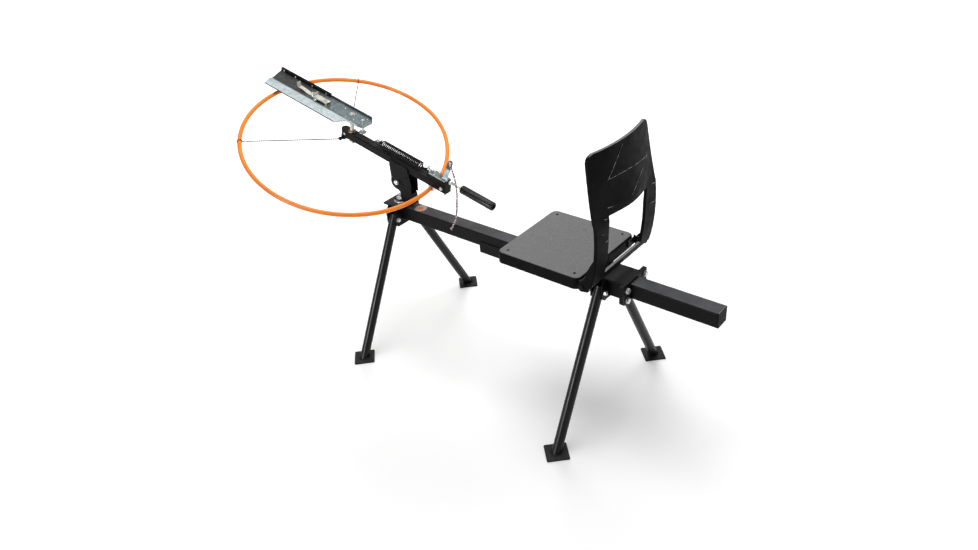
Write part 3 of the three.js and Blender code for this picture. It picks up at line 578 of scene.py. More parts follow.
def make_cord():
    path = spline([at(*p) for p in CORD_ROUTE], 9)
    steps = [0.0]
    for a, b in zip(path, path[1:]):
        steps.append(steps[-1] + (b - a).length)
    lay = 0.011

    def two_strands(i, angle):
        return 0.86 + 0.2 * cos(2 * (angle - TAU * steps[i] / (2 * lay)))

    form = Form().tube(path, CORD_RADIUS, 12, two_strands)
    cord = form.make("pull_cord_twisted", None, "braid", "cord_yarn", ["pull_cord"], 50)
    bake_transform(cord, "head", "release_lever", start=tuple(at(24, -412, 640)), end=tuple(at(-11, -462, 706)))
    knot_at = at(*KNOT)
    knot = overhand(knot_at + Vector((0, 0, 0.001)), 3.1, 1.7)
    upper = overhand(at(38.6, -424, 523), 2.0, 1.35, lean=0.6)
    knot.add(upper.verts, upper.faces)
    for spin in around(7):
        tuft = [knot_at + Vector((0.9 * cos(spin), 0.9 * sin(spin), -1.5)) * MM]
        for step in (1, 2, 3):
            tuft.append(knot_at + Vector((
                (1 + 0.5 * step) * cos(spin + 0.3 * step) + RANDOM.uniform(-0.3, 0.3),
                (1 + 0.5 * step) * sin(spin + 0.3 * step) + RANDOM.uniform(-0.3, 0.3),
                -1.5 - 1.5 * step)) * MM)
        knot.tube(spline(tuft, 3), 0.45, 6)
    tied = knot.make("pull_cord_knots", "head", "braid", "cord_yarn", ["cord_knot"], 60)


make_cord()

# ---- carried-over CAD solids

EDGE_WIDTH = {"main_beam": 0.8, "beam_badge": 0.25, "arm_rail": 0.5,
              "throwing_arm": 0.4, "target_clip": 0.35, "release_plate": 0.4, "release_lever": 0.35,
              "beam_end_cap": 1.0, "swivel_washer": 0.4, "spindle": 0.5, "crank_pin": 0.5,
              "spindle_bushing": 0.4, "seat_pan": 0.8}


def dress(name, node, slot):
    """A finish, merged flat faces and rounded edges for one CAD solid."""
    for custom in [a for a in node.data.attributes if a.name == "custom_normal"]:
        node.data.attributes.remove(custom)
    finish = {"beam_badge": "badge", "target_clip": "clip_zinc", "main_beam": "beam_paint",
              "beam_end_cap": "seat_plastic"}.get(name, slot)
    if name.startswith("leg_") and "bolt" not in name:
        finish = "leg_paint"
    node.data.materials.clear()
    node.data.materials.append(FINISH[finish])
    weld = node.modifiers.new("weld", "WELD")
    weld.merge_threshold = 0.01 * MM
    flat = node.modifiers.new("flat", "DECIMATE")
    flat.decimate_type = "DISSOLVE"
    flat.angle_limit = radians(0.6)
    soften(node, EDGE_WIDTH.get(name, 0.7))


for row in frame["record"]["subparts"]:
    dress(row["node"], frame["nodes"][row["node"]], row["material_slot"])

# ---- bolts


def thread(form, matrix, radius, z0, z1, pitch=1.25):
    """A threaded end: fine ridges, with a small chamfer at its tip."""
    profile = []
    z = z0
    while z < z1 - 1.2:
        profile += [(radius * 0.88, z), (radius, z + pitch * 0.5)]
        z += pitch
    profile += [(radius * 0.9, z1 - 0.9), (radius * 0.75, z1)]
    form.turn(matrix, profile, 24)


def washer(form, matrix, inner, outer, z0, z1):
    form.pipe(matrix, [(inner, z0), (outer - 0.3, z0), (outer, z0 + 0.3), (outer, z1 - 0.3),
                       (outer - 0.3, z1), (inner, z1)], 36)


def bolt(name, body, origin, along, radius, flat, grip, head=5.5, nut=6.5, tip=3.5, replaces=()):
    """A hex bolt through `grip` mm: its head sits before the origin and its nut after the grip."""
    form = Form()
    m = place(origin, along)
    flange = 1.6
    spin = m @ Matrix.Rotation(RANDOM.uniform(0, 1), 4, "Z")
    form.hexagon(spin @ UPSIDE_DOWN, flat, flange, head)
    form.turn(m, [(radius * 0.98, -flange), (radius * 0.98, grip + flange)], 24)
    washer(form, m, radius + 0.1, flat * 0.62, -flange, -0.05)
    washer(form, m, radius + 0.1, flat * 0.62, grip + 0.05, grip + flange)
    form.hexagon(m @ Matrix.Rotation(RANDOM.uniform(0, 1), 4, "Z"), flat, grip + flange,
                 grip + nut, bottom=True)
    thread(form, m, radius, grip + nut - 0.5, grip + nut + tip)
    return form.make(name, body, replaces=replaces)


def make_bolts():
    height = 464
    across = LEG_TOP[0] + (LEG_TOP[1] - height) * LEG_SLOPE
    outer = BRACKET_INNER + BRACKET_PLATE + 0.05
    for end, y in (("front", SWIVEL_Y), ("rear", REAR_LEG_Y)):
        for side_name, side in (("left", 1), ("right", -1)):
            bolt(f"hex_bolt_{end}_{side_name}", "stand", at(side * across, y - outer, height), Y, 4,
                 13, 2 * outer, replaces=[f"leg_bolt_{end}_{side_name}"])
    for name, x, z in (("upper", 42, 494), ("lower", 42, 460), ("far", -56, 500)):
        bolt(f"hex_clamp_bolt_{name}", "stand", at(x, 241.35, z), -Y, 5, 16, 12.6, head=7, nut=7,
             tip=1.5, replaces=[f"clamp_bolt_{name}"])
    bolt("hex_tilt_bolt", "swivel", at(19.5, TILT_Y, TILT_Z), -X, 5, 15, 39, head=6, nut=7.5, tip=2.5,
         replaces=["tilt_bolt"])


make_bolts()


def make_swivel_bolt():
    """Its nut lies on the swivel's floor, which rests on the bracket and a spacer washer."""
    gap, spacer, swivel_floor = 0.3, 5.4, 5
    floor_top = BEAM_TOP + gap + BRACKET_TOP + gap + spacer + gap + swivel_floor
    form = Form()
    m = place(at(0, SWIVEL_Y, 0), Z)
    form.turn(m, [(6, BEAM_BOTTOM - 8), (6, floor_top + 12)], 28)
    washer(form, m, 6.2, 17.4, floor_top + 0.1, floor_top + 2.2)
    form.hexagon(m, 22, floor_top + 2.2, floor_top + 12.5, bottom=True)
    thread(form, m, 6, floor_top + 12, floor_top + 17)
    washer(form, m, 6.2, 14, BEAM_BOTTOM - 2.4, BEAM_BOTTOM - 0.2)
    form.hexagon(m @ Matrix.Rotation(0.4, 4, "Z"), 19, BEAM_BOTTOM - 9, BEAM_BOTTOM - 2.4,
                 top=False, bottom=True)
    thread(form, m @ UPSIDE_DOWN, 6, 8.5 - BEAM_BOTTOM, 14 - BEAM_BOTTOM)
    form.make("hex_swivel_bolt", "stand", replaces=["swivel_bolt"])


make_swivel_bolt()

# ---- weld beads


def weld(form, points, radius, closed=False, seed=0):
    """A rippled bead along points."""
    rng = random.Random(seed)
    drift = [rng.uniform(-0.12, 0.12) for _ in points]
    form.tube(points, lambda i: radius * (1 + 0.16 * sin(i * TAU / 3) + drift[i]), 8,
              closed=closed)


def between(a, b, step=1.0):
    """Points from a to b, about step mm apart."""
    count = max(3, int((b - a).length / (step * MM)))
    return [a.lerp(b, i / count) for i in range(count + 1)]


def make_welds():
    stand = Form()
    leg_radius, bracket_top = 17.0, BEAM_TOP + 6.7
    lean = atan(LEG_SLOPE)
    for y in (SWIVEL_Y, REAR_LEG_Y):
        for side in (1, -1):
            ring = [at(side * (LEG_FOOT[0] + leg_radius / cos(lean) * cos(a)),
                       y + leg_radius * sin(a), 5.6) for a in around(100)]
            weld(stand, ring, 1.9, True, seed=int(y + side))
    for y in (SWIVEL_Y - 21.6, SWIVEL_Y + 21.6):
        for side in (1, -1):
            weld(stand, between(at(side * 46.2, y, 509), at(side * 60.5, y, 494.5)), 1.0, seed=3)
    for y, x0, x1 in ((REAR_LEG_Y - 16.2, -44, 44), (REAR_LEG_Y + 16.2, 32, 44)):
        weld(stand, between(at(x0, y, BEAM_TOP), at(x1, y, BEAM_TOP)), 1.2, seed=int(y))
    weld(stand, between(at(-44, 228.3, bracket_top), at(44, 228.3, bracket_top)), 1.3, seed=5)
    stand.make("frame_welds", "stand", "black_paint", angle=60)

    head = Form()
    for side in (1, -1):
        for y0, y1 in ((-38, -12), (14, 44)):
            weld(head, between(on_head(side * 16.3, y0, 74.6), on_head(side * 16.3, y1, 74.6)),
                 1.4, seed=side + y0)
    for side in (1, -1):
        weld(head, between(on_head(side * 13, 139, 87.5), on_head(side * 13, 160, 87.5)), 0.6, seed=9)
    head.make("head_welds", "head", "black_paint", angle=60)

    swivel = Form()
    for side in (1, -1):
        weld(swivel, between(at(side * 9.0, -688, 525.4), at(side * 9.0, -646, 525.4)), 1.5, seed=11)
    weld(swivel, between(at(-9, -644.2, 525.4), at(9, -644.2, 525.4)), 1.5, seed=12)
    swivel.make("swivel_welds", "swivel", "black_paint", angle=60)


make_welds()

# ---- spring and its hooks


def make_spring():
    centre, radius, wire, turns = 105, 15, 2.3, 25
    front_end, rear_end = -93 + wire, 92 - wire
    mean = radius - wire
    count = turns * 22
    coil = []
    for i in range(count + 1):
        t = i / count
        angle = TAU * turns * t
        coil.append(on_head(mean * sin(angle), front_end + (rear_end - front_end) * t,
                            centre + mean * cos(angle)))
    form = Form().tube(coil, wire, 8)
    spring = form.make("coil_spring", None, "spring_steel", "black_paint", ["main_spring"], 50)
    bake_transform(spring, "head", "spring_link", start=tuple(on_head(0, 86, centre)),
             end=tuple(on_head(0, -88, centre)))

    front = Form()
    hook = [on_head(x, y, z) for x, y, z in (
        (0, -86, centre + mean), (1, -89.5, centre + mean - 0.6), (1.5, -94, centre + 7),
        (0.8, -98, centre + 4.4), (0, -102, centre + 4.0), (0, -107, centre + 3.9))]
    front.tube(spline(hook, 6), 1.9, 10)
    front.block((-5.6, -118, centre + 2.05), (6.4, -103, centre + 4.9))
    front.dome(fit(0, -111, centre + 4.9), 3.6, 1.6, 2.4, 2.6, 2.8)
    front.make("spring_front_hook", "spring_link", angle=40, bevel=0.4)

    rear = Form()
    hook = [on_head(x, y, z) for x, y, z in (
        (0, 84, centre + mean), (0.5, 90, centre + mean - 0.5), (1.2, 97, centre + 6),
        (2, 104, centre - 0.5), (1, 112, centre + 1.6), (0, 119, centre + 2.2))]
    rear.tube(spline(hook, 6), 2.0, 10)
    eye = [on_head(6.4 * cos(a), 122 + 6.4 * sin(a), centre + 2.4) for a in around(28)]
    rear.tube(eye, 1.9, 10, closed=True)
    rear.make("spring_rear_hook", "head", "spring_steel", "black_paint", angle=45)
    screw = Form()
    m = fit(0, 132.5, centre + 0.1)
    washer(screw, m, 3.2, 7, 0, 1.3)
    screw.hexagon(m, 9, 1.3, 5.6)
    screw.make("spring_anchor_screw", "head")


make_spring()

# ---- handle


def make_grip():
    x, z, start, length = -6, 98, 267, 135
    radius, ribs = 14.5, 16
    m = fit(x, start, z, HEAD_Y)
    profile = [(0.62, 0), (0.86, 0.2), (0.97, 1.6), (1.0, 4.2), (1.0, 8.0), (0.965, 8.8), (0.955, 9.6),
               (0.955, length - 9.5), (0.965, length - 8.8), (1.0, length - 8.0), (1.0, length - 4),
               (0.975, length - 1.5), (0.88, length - 0.2), (0.62, length), (0.58, length - 0.8),
               (0.52, length - 5.5), (0.3, length - 6), (0.02, length - 6)]
    rings = []
    for share, y in profile:
        wave = 0.035 if 9 < y < length - 9 else 0
        rings.append([polar(m, radius * (share + wave * (0.5 + 0.5 * cos(ribs * a))), a, y)
                      for a in around(96)])
    Form().rings(rings).make("ribbed_grip", "head", "black_rubber", replaces=["handle_grip"], angle=42)

    nut = Form()
    m = fit(x, 214.9, z, HEAD_Y)
    washer(nut, m, 4.6, 8.6, 0, 1.4)
    nut.hexagon(m, 14, 1.4, 8.4, bottom=True)
    thread(nut, m, 4.6, 8.2, 24)
    nut.turn(m, [(4.4, 22), (4.4, 44)], 24)
    nut.turn(m, [(6.2, 42), (7.3, 42.8), (7.3, 51.4), (6.6, 51.9)], 28)
    nut.make("handle_stud", "head", replaces=["handle_rod"])


make_grip()

# ---- guard ring and its stays

RING_CENTRE = at(65, -871.3, 726.8)
RING_RADIUS, RING_TUBE = 357.3, 7.5
RING_TILT, RING_ROLL = 0.344, 0.066
RING_START, RING_END = radians(97), radians(-247)


def ring_point(angle):
    normal = Vector((sin(RING_ROLL), sin(RING_TILT), cos(RING_TILT) * cos(RING_ROLL)))
    across = Y.cross(normal.normalized()).normalized()
    back = normal.normalized().cross(across)
    return RING_CENTRE + (across * cos(angle) + back * sin(angle)) * RING_RADIUS * MM


def ring_path(count):
    start_shift = on_head(9, 149, 58 - RING_TUBE - 1.2) - ring_point(RING_START)
    end_shift = on_head(2, 184, BAR_TOP + 2.5 + RING_TUBE + 1) - ring_point(RING_END)
    points = []
    for i in range(count + 1):
        angle = RING_START + (RING_END - RING_START) * i / count
        p = ring_point(angle)
        p += start_shift * (1 - smoothstep(RING_START - angle, 0, 0.6))
        p += end_shift * (1 - smoothstep(angle - RING_END, 0, 0.95))
        points.append(p)
    return points


def make_ring():
    """The hoop, its two screws, and the two stays with their loops round it."""
    path = ring_path(216)
    ends = {0: 0.55, 1: 0.9, len(path) - 2: 0.9, len(path) - 1: 0.55}
    Form().tube(path, lambda i: RING_TUBE * ends.get(i, 1.0), 24).make(
        "hoop", "head", "orange_plastic", replaces=["guard_ring"], angle=60)
    screw = Form()
    m = fit(2, 176, BAR_TOP + 2.5 + 15.6)
    screw.turn(m, [(5.5, 0), (5.5, 0.8), (4.6, 2.0), (3.0, 2.8), (0.01, 3.1)], 24)
    screw.dome(fit(9, 153, 58 - 17.0, -HEAD_Z), 4.6, 1, 3.6, 2.2, 2.8, sides=24)
    screw.make("hoop_screws", "head", angle=40)

    last = 72
    coarse = ring_path(last)
    for name, side, along in (("left", 1, 0.399), ("right", -1, 0.693)):
        k = round(along * last)
        on_ring = coarse[k]
        start = on_head(side * 24, -278, 47)
        direction = (on_ring - start).normalized()
        end = on_ring - direction * (RING_TUBE + 0.5) * MM
        wire = Form().tube(between(start, end, 1.2), 2.0, 10,
                           lambda i, angle: 0.84 + 0.24 * cos(2 * (angle - i * 0.55)))
        tangent = (coarse[k + 1] - coarse[k - 1]).normalized()
        out = tangent.cross(direction).normalized()
        loop = [on_ring + (direction * cos(a) + out * sin(a)) * (RING_TUBE + 1.3) * MM
                for a in around(36)]
        wire.tube(loop, 1.2, 8, closed=True)
        wire.make(f"twisted_stay_{name}", "head", "stay_wire", "zinc", [f"ring_stay_{name}"], 50)
        fitting = Form()
        back = place(end - direction * 16 * MM, direction)
        fitting.turn(back, [(1.9, 0), (2.6, 0.6), (2.6, 9.4), (1.9, 10)], 20)
        ferrule = place(start + direction * 2 * MM, direction)
        fitting.turn(ferrule, [(1.9, 0), (2.8, 0.6), (2.8, 10), (1.9, 11)], 20)
        fitting.make(f"stay_ferrules_{name}", "head", angle=40)


make_ring()

# ---- throwing arm


def rivet(form, x, y, radius=2.7, height=1.3):
    m = fit(x, y, ARM_TOP - 0.2)
    form.turn(m, [(radius, 0), (radius, 0.25), (radius * 0.86, 0.25 + height * 0.5),
                  (radius * 0.5, 0.2 + height * 0.9), (0.01, 0.2 + height)], 20)


def make_arm_details():
    rivets = Form()
    for x, y in ((-15.2, -287.4), (-19.5, -235.3), (-20.2, -182.7), (14, -172), (17.5, -212)):
        rivet(rivets, x, y)
    for x, y in ((-19, -300), (19, -300)):
        rivet(rivets, x, y, 2.2, 1.0)
    wall = [on_head(-31.4, y, 161.6) for y in range(-375, -175, 5)]
    rivets.tube(wall, 1.6, 10)
    rivets.make("arm_rivets", "arm", angle=45)

    seats = Form()
    for x, y, r in ((0, SPINDLE_Y, 15.5), (0, CRANK_Y, 10.8), (14, -172, 4.6), (-20.2, -182.7, 4.4)):
        m = fit(x, y, ARM_TOP - 0.3)
        seats.pipe(m, [(r - 1.3, 0), (r + 1.3, 0), (r + 0.9, 0.7), (r, 1.0), (r - 0.9, 0.7)], 40)
    for x in (-9, 9):
        rib = [on_head(x, y, ARM_TOP - 0.55) for y in range(-372, -312, 4)]
        seats.tube(rib, 1.1, 10)
    seats.make("arm_pressings", "arm", "galvanised", angle=50)

    # A black tube along the flange's near edge: a painted shadow under the sheet's edge.
    shadow_line = Form()
    shadow_line.tube([on_head(84.2, y, 158.6) for y in range(-598, -239, 5)], 1.9, 10)
    shadow_line.make("flange_edge_shadow", "arm", "spring_steel", "black_rubber", angle=60)

    heads = Form()
    for y, top, flat, height in ((SPINDLE_Y, 156.8, 15, 3.6), (CRANK_Y, 156.3, 10, 2.8)):
        heads.hexagon(fit(0, y, top - 0.1), flat, 0, height)
    heads.make("arm_pivot_heads", "arm")

    under = Form()
    m = fit(0, SPINDLE_Y, 48, -HEAD_Z)
    under.hexagon(m, 18, 0, 6.4)
    thread(under, m, 5, 6, 10)
    under.make("spindle_lock_nut", "arm")


make_arm_details()


def make_clip_details():
    pin_z = 161.3
    form = Form()
    m = fit(8.6, -386, pin_z, X)
    form.hexagon(m @ UPSIDE_DOWN, 9, 0.1, 4)
    form.turn(m, [(2.9, 0), (2.9, 24)], 20)
    washer(form, m, 3.1, 6, 23.7, 24.9)
    form.hexagon(m, 9, 24.9, 29.6, bottom=True)
    thread(form, m, 2.9, 29.4, 33)
    m = fit(21, -413, 155.5, HEAD_Z, X)
    washer(form, m, 2.2, 5.4, 0, 1.2)
    form.hexagon(m, 8, 1.2, 5.2, bottom=True)
    thread(form, m, 2.1, 5, 21)
    m = fit(20.5, -350, 168.2)
    washer(form, m, 2.4, 5.6, 0, 1.1)
    form.hexagon(m, 8, 1.1, 4.6)
    form.make("clip_bolts", "arm")
    # A thin black sheet by the clip: painted shade standing in for the dark of its slot.
    Form().block((32.0, -383, 156.5), (32.6, -340, 164.5)).make(
        "clip_slot_shade", "arm", "spring_steel", "zinc", angle=35)

    yoke = Form()
    for x in (5.6, 19.4):
        yoke.block((x, -409, 162.4), (x + 1.8, -401.5, 176))
    yoke.block((5.6, -409, 161.6), (21.2, -401.5, 163.2))
    yoke.block((7.4, -404.2, 163), (19.4, -402.6, 172))
    yoke.turn(fit(4.2, -405.4, 172.5, X), [(1.9, 0), (1.9, 18.4)], 16)
    yoke.make("clip_yoke", "arm", "clip_zinc", "zinc", angle=35, bevel=0.3)

    coil = []
    turns, per_turn = 6, 14
    for i in range(turns * per_turn + 1):
        a = TAU * i / per_turn
        coil.append(on_head(12.6 + 15.5 * i / (turns * per_turn), -386 + 4.6 * sin(a),
                            pin_z + 4.6 * cos(a)))
    tail = coil[-1]
    coil += spline([tail, tail + HEAD.to_3x3() @ Vector((0.4, -4, 0.4)) * MM,
                    tail + HEAD.to_3x3() @ Vector((0.6, -9, -2.2)) * MM], 4)[1:]
    Form().tube(coil, 0.8, 8).make("clip_spring", "arm", angle=60)

    rail = Form()
    for y in (-622, -560, -470, -397):
        rail.dome(fit(-26.4, y, 158, X), 3.4, 0.6, 2.6, 1.5, 2.0)
    rail.make("rail_rivets", "arm", angle=40)
    lip = Form()
    for x, z, radius, sides in ((-26.05, 155.6, 0.55, 8), (-26.05, 160.4, 0.55, 8),
                                (-31.6, 164.35, 1.5, 10)):
        lip.tube([on_head(x, y, z) for y in range(-636, -379, 4)], radius, sides)
    lip.make("rail_beads", "arm", "black_rubber", angle=60)


make_clip_details()

# ---- release and head details


def make_head_details():
    plate = Form()
    for x, y in ((9, 158), (-9, 200), (-9, 146)):
        plate.dome(fit(x, y, 106.7), 3.6, 0.7, 2.8, 1.8, 2.3)
    plate.make("release_screws", "head", angle=40)

    cheeks, small, nuts = Form(), Form(), Form()
    for side in (1, -1):
        out = X * side
        cheeks.pipe(fit(side * 19.3, 0, 0, out),
                    [(15.2, -0.3), (19.4, -0.3), (18.9, 0.9), (17.3, 1.3), (15.7, 0.9)], 48)
        groove = [on_head(side * 19.3, 26.0 * cos(a) + 4, 26.0 * sin(a) - 2)
                  for a in [radians(d) for d in range(-60, 76, 5)]]
        cheeks.tube(groove, 1.0, 8)
        cheeks.dome(fit(side * 19.3, 40, 38, out), 4.2, 0.8, 3.2, 2.0, 2.5)
        small.hexagon(fit(side * 15, 196, 72, out), 9, 0, 3.8)
        washer(small, fit(side * 15, 196, 72, out), 3, 6.2, -0.1, 0.9)
        small.dome(fit(side * 15, -262, 72, out), 4.6, 0.5, 3.4, 1.6, 2.2, base=-0.2)
        nuts.turn(fit(side * 22, -278, 47, out), [(6.2, -3.4), (6.8, -2.9), (6.8, 0.6), (6.2, 1.1)], 24)
    cheeks.make("cheek_pressings", "head", "black_paint", angle=50)
    small.make("bar_screws", "head")
    nuts.make("stay_collars", "head", "black_paint", angle=40)

    latch = Form()
    arc = [on_head(-9, y, z) for y, z in (
        (146, 107.6), (138, 110), (130, 112.2), (122, 112.6), (116, 110.6))]
    latch.tube(spline(arc, 5), 2.0, 10)
    latch.make("latch_hook", "head", angle=45)

    ends = [on_head(8, y, 110.1) for y in (190.2, 213.8)]
    rod = Form().tube(ends, 1.6, 16)
    for end in ends:
        rod.turn(place(end, HEAD_Y), [(2.2, -0.8), (2.9, -0.4), (2.9, 0.4), (2.2, 0.8)], 18)
    rod.make("lever_pivot", "head", angle=40)


make_head_details()

# ---- seat


def make_seat_details():
    """Ribs under the seat, rims and screws in its holes, and bolts of its mounting plate."""
    ribs = Form()
    flat = Matrix.Translation(ORIGIN)
    for x in (-108, -72, -36, 44, 80, 116):
        ribs.block((x - 1.2, -142, 556.4), (x + 1.2, 142, 560.3), flat)
    for y in (-136, -45, 10, 118):
        ribs.block((-142, y - 1.2, 556.2), (150, y + 1.2, 560.2), flat)
    ribs.make("seat_ribs", "stand", "seat_plastic", angle=32, bevel=0.3)

    rims = Form()
    screws = Form()
    for x in (-125, 133):
        for y in (-121, 121):
            rims.pipe(place(at(x, y, 563.9), Z), [(4.0, -3), (4.0, 0.05), (4.7, 0.35), (5.9, 0.3),
                                                  (6.5, -0.2), (6.5, -3)])
            screws.dome(place(at(x, y, 560.4), Z), 3.6, 0.6, 2.6, 1.3, 1.5, sides=18)
    rims.make("seat_hole_rims", "stand", "seat_plastic", angle=40)
    screws.make("seat_screws", "stand", "spring_steel", "black_paint", angle=40)

    bolts = Form()
    for x in (-30, 30):
        for y in (-118, 84):
            bolts.hexagon(place(at(x, y, 513.6), Z), 10, 0, 3.2)
    bolts.make("seat_plate_bolts", "stand")


make_seat_details()

# ---- seat back

SEAT_X = 4
BACK_TOP, WINDOW_TOP, WINDOW_BOTTOM = 952, 764, 577
BACK_THICK, BACK_HOLLOW = 10, 26
UPRIGHT_HALF, PANEL_HALF, TOP_HALF = 158, 160, 150
REAR_EDGE = ((540, 190), (553, 196), (575, 203), (616, 211), (678, 217), (744, 216), (781, 209),
             (865, 194), (953, 181))
REAR_CURVE = spline([Vector((z, y, 0)) for z, y in REAR_EDGE], 12)


def edge_y(z):
    for a, b in zip(REAR_CURVE, REAR_CURVE[1:]):
        if a.x <= z <= b.x:
            return a.y + (b.y - a.y) * (z - a.x) / (b.x - a.x)
    return REAR_CURVE[-1].y


def back_rear(x, z):
    """The rear face's y: its side edge's, and the panel's hollow."""
    amount = smoothstep(z, 700, 790)
    part = min(1, abs(x) / PANEL_HALF)
    mix = smoothstep(z, WINDOW_TOP, 880)
    across = (1 - mix) * cos(pi / 2 * part) ** 2 + mix * (1 - part ** 2)
    return edge_y(z) + BACK_HOLLOW * amount * across


def half_at(z):
    if z < WINDOW_TOP - 10:
        return UPRIGHT_HALF
    up = (z - WINDOW_TOP) / (BACK_TOP - WINDOW_TOP)
    return PANEL_HALF + (TOP_HALF - PANEL_HALF) * up


def make_back():
    rows = [553, 557, 565, 573, WINDOW_BOTTOM, 581, 590, 605, 622, 640, 660, 680, 700, 720, 738, 750,
            758, WINDOW_TOP, 770, 780, 794, 810, 828, 846, 864, 882, 900, 916, 930, 940, 947, BACK_TOP]
    half = [0.14, 0.28, 0.42, 0.52, 0.6, 0.62, 0.64, 0.7, 0.78, 0.86, 0.93, 0.985, 1]
    columns = [-x for x in reversed(half)] + [0] + half
    left, right = columns.index(-0.62), columns.index(0.62)
    bottom, top = rows.index(WINDOW_BOTTOM), rows.index(WINDOW_TOP)

    def solid(i, j):
        if not (0 <= i < len(columns) - 1 and 0 <= j < len(rows) - 1):
            return False
        return not (left <= i < right and bottom <= j < top)

    def corner_pull(x, z):
        """Rounds the two top corners."""
        half = half_at(z)
        from_top, from_side = BACK_TOP - z, half - abs(x)
        radius = 24
        if from_top < radius and from_side < radius:
            u, v = radius - from_side, radius - from_top
            size, far = hypot(u, v), max(u, v)
            x = copysign(half - radius + u * far / size, x)
            z = BACK_TOP - radius + v * far / size
        return x, z

    verts, index = [], {}
    for j, z in enumerate(rows):
        for i, column in enumerate(columns):
            if not any(solid(i - a, j - b) for a in (0, 1) for b in (0, 1)):
                continue
            x, zz = corner_pull(column * half_at(z), z)
            rear = back_rear(x, zz)
            index[i, j, 0] = len(verts)
            verts.append(at(SEAT_X + x, rear - BACK_THICK, zz))
            index[i, j, 1] = len(verts)
            verts.append(at(SEAT_X + x, rear, zz))
    faces = []
    for j in range(len(rows) - 1):
        for i in range(len(columns) - 1):
            if not solid(i, j):
                continue
            a, b, c, d = (i, j), (i + 1, j), (i + 1, j + 1), (i, j + 1)
            faces.append(tuple(index[(*p, 0)] for p in (a, b, c, d)))
            faces.append(tuple(index[(*p, 1)] for p in (d, c, b, a)))
            for inside, p, q in ((solid(i, j - 1), a, b), (solid(i + 1, j), b, c),
                                 (solid(i, j + 1), c, d), (solid(i - 1, j), d, a)):
                if not inside:
                    faces.append((index[(*q, 0)], index[(*p, 0)], index[(*p, 1)], index[(*q, 1)]))
    form = Form().add(verts, faces)

    gusset = [(214, 655), (203, 642), (188, 614), (178, 582), (160, 562)]
    for k in range(13):
        a = 2.0 + (1.5 * pi - 2.0) * k / 12
        gusset.append((166 + 14 * cos(a), 548 + 14 * sin(a)))
    gusset += [(187, 538), (201, 575), (209, 616)]
    inner = 154.8
    for side in (1, -1):
        walls = sorted((SEAT_X + side * inner, SEAT_X + side * (inner + 7)))
        form.rings([[at(x, y, z) for y, z in gusset] for x in walls])
    back = form.make("seat_back_moulding", "seat_back", "seat_plastic", replaces=["seat_back"],
                     angle=40, bevel=1.6)
    back.modifiers["bevel"].segments = 3
    back.modifiers["bevel"].angle_limit = radians(50)
    return BVHTree.FromPolygons(
        [v.co.copy() for v in back.data.vertices],
        [tuple(f.vertices) for f in back.data.polygons])


def back_line(tree, points, step, rear=True):
    """The route x, z through points, in mm, laid on the moulding's rear or front face."""
    route = []
    for (x0, z0), (x1, z1) in zip(points, points[1:]):
        count = max(2, int(hypot(x1 - x0, z1 - z0) / step))
        route += [(x0 + (x1 - x0) * k / count, z0 + (z1 - z0) * k / count) for k in range(count)]
    hits = [tree.ray_cast(at(x, 400 if rear else -100, z), -Y if rear else Y)[0]
            for x, z in (*route, points[-1])]
    return [hit for hit in hits if hit is not None]


def make_back_relief(tree):
    lines = Form()
    diagonals = (((20, 940), (100, 862)), ((-112, 853), (10, 789)))
    curve = ((90, 867), (43, 866), (0, 864), (-52, 859), (-112, 853))
    ticks = (((124, 761), (98, 757)), ((118, 688), (99, 694)), ((-130, 758), (-154, 752)),
             ((-119, 700), (-144, 696)), ((106, 789), (82, 786)), ((140, 722), (124, 716)))
    for routes, radius in (((*diagonals, curve), 0.8), (ticks, 1.1)):
        for route in routes:
            lines.tube(back_line(tree, route, 2.5), radius, 8)
    lines.make("back_relief", "seat_back", "moulded_line", "seat_plastic", angle=60)

    front = Form()
    for z in (800, 838, 876, 914):
        half = half_at(z) - 26
        route = [(SEAT_X - half + 2 * half * (k / 30), z) for k in range(31)]
        front.tube(back_line(tree, route, 8, rear=False), 1.3, 8)
    front.make("back_front_ribs", "seat_back", "seat_plastic", angle=60)


make_back_relief(make_back())

# ---- floor and lights


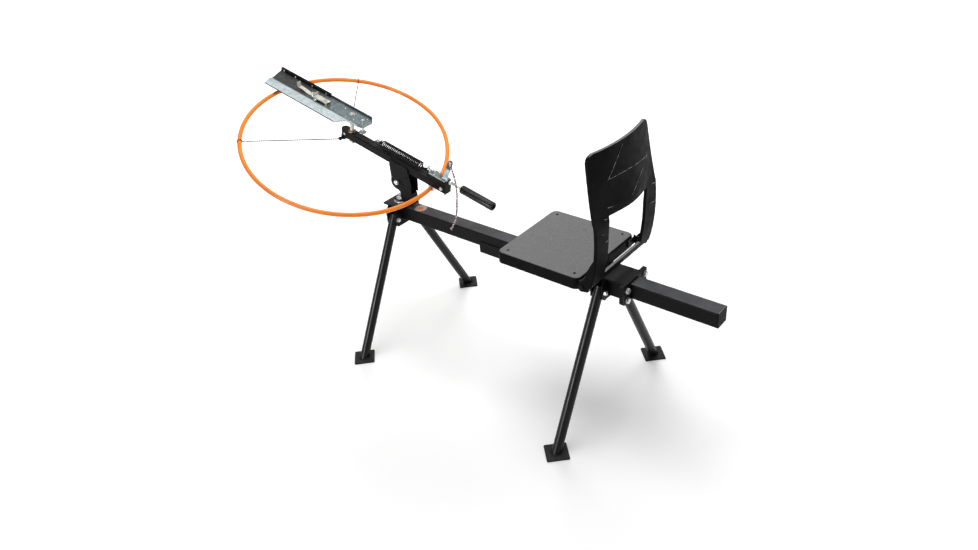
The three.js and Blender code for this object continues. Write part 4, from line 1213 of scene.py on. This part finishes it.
def make_floor():
    """A pale floor that glows a little, more with distance."""
    p = Paint("floor", Specular_IOR_Level=0.1, Emission_Color=(1, 1, 1, 1))
    away = p.fill("VectorMath", {0: p.place}, operation="LENGTH")["Value"]
    p.put(p.shader.inputs["Emission Strength"], p.spread(away, 0.6, 3.0, 0.12, 0.75))
    p.put(p.shader.inputs["Base Color"], p.mottle((0.93, 0.93, 0.93), (0.95, 0.95, 0.95), 0.6, 2, 0.3, 0.7))
    p.put(p.shader.inputs["Roughness"], p.uneven(3, 2, 0.85, 0.95))
    mesh = bpy.data.meshes.new("floor")
    size = 30
    mesh.from_pydata([(x, y, 0) for x, y in ((-size, -size), (size, -size), (size, size), (-size, size))],
                     [], [(0, 1, 2, 3)])
    mesh.materials.append(p.material)
    link(bpy.data.objects.new("floor", mesh))


def area_light(name, place_at, target, size, power, mirrored=True, lights=True):
    data = bpy.data.lights.new(name, "AREA")
    data.shape = "DISK"
    data.size = size
    data.energy = power
    lamp = link(bpy.data.objects.new(name, data))
    lamp.location = place_at
    lamp.rotation_mode = "QUATERNION"
    lamp.rotation_quaternion = (Vector(target) - Vector(place_at)).to_track_quat("-Z", "Y")
    lamp.visible_glossy = mirrored
    lamp.visible_diffuse = lights


def make_lights():
    """A white world, plain white to the camera and dimmer as a light, and three lamps."""
    world = bpy.data.worlds.new("world")
    world.use_nodes = True
    tree = world.node_tree
    background = tree.nodes["Background"]
    background.inputs[0].default_value = (1, 1, 1, 1)
    light_path = tree.nodes.new("ShaderNodeLightPath")
    strength = tree.nodes.new("ShaderNodeMapRange")
    tree.links.new(light_path.outputs["Is Camera Ray"], strength.inputs["Value"])
    strength.inputs["To Min"].default_value = 0.35
    strength.inputs["To Max"].default_value = 1
    tree.links.new(strength.outputs[0], background.inputs[1])
    bpy.context.scene.world = world
    bpy.context.scene.view_settings.view_transform = "Standard"
    area_light("top", (-0.3, -0.3, 4.0), (0, 0, 0.4), 2.6, 95)
    area_light("back", (-3.2, -2.6, 2.9), (0, 0, 0.5), 2.6, 90, mirrored=False)
    area_light("side", (3.9, -0.6, 1.2), (0, -0.2, 0.4), 0.8, 120, lights=False)


make_floor()
make_lights()
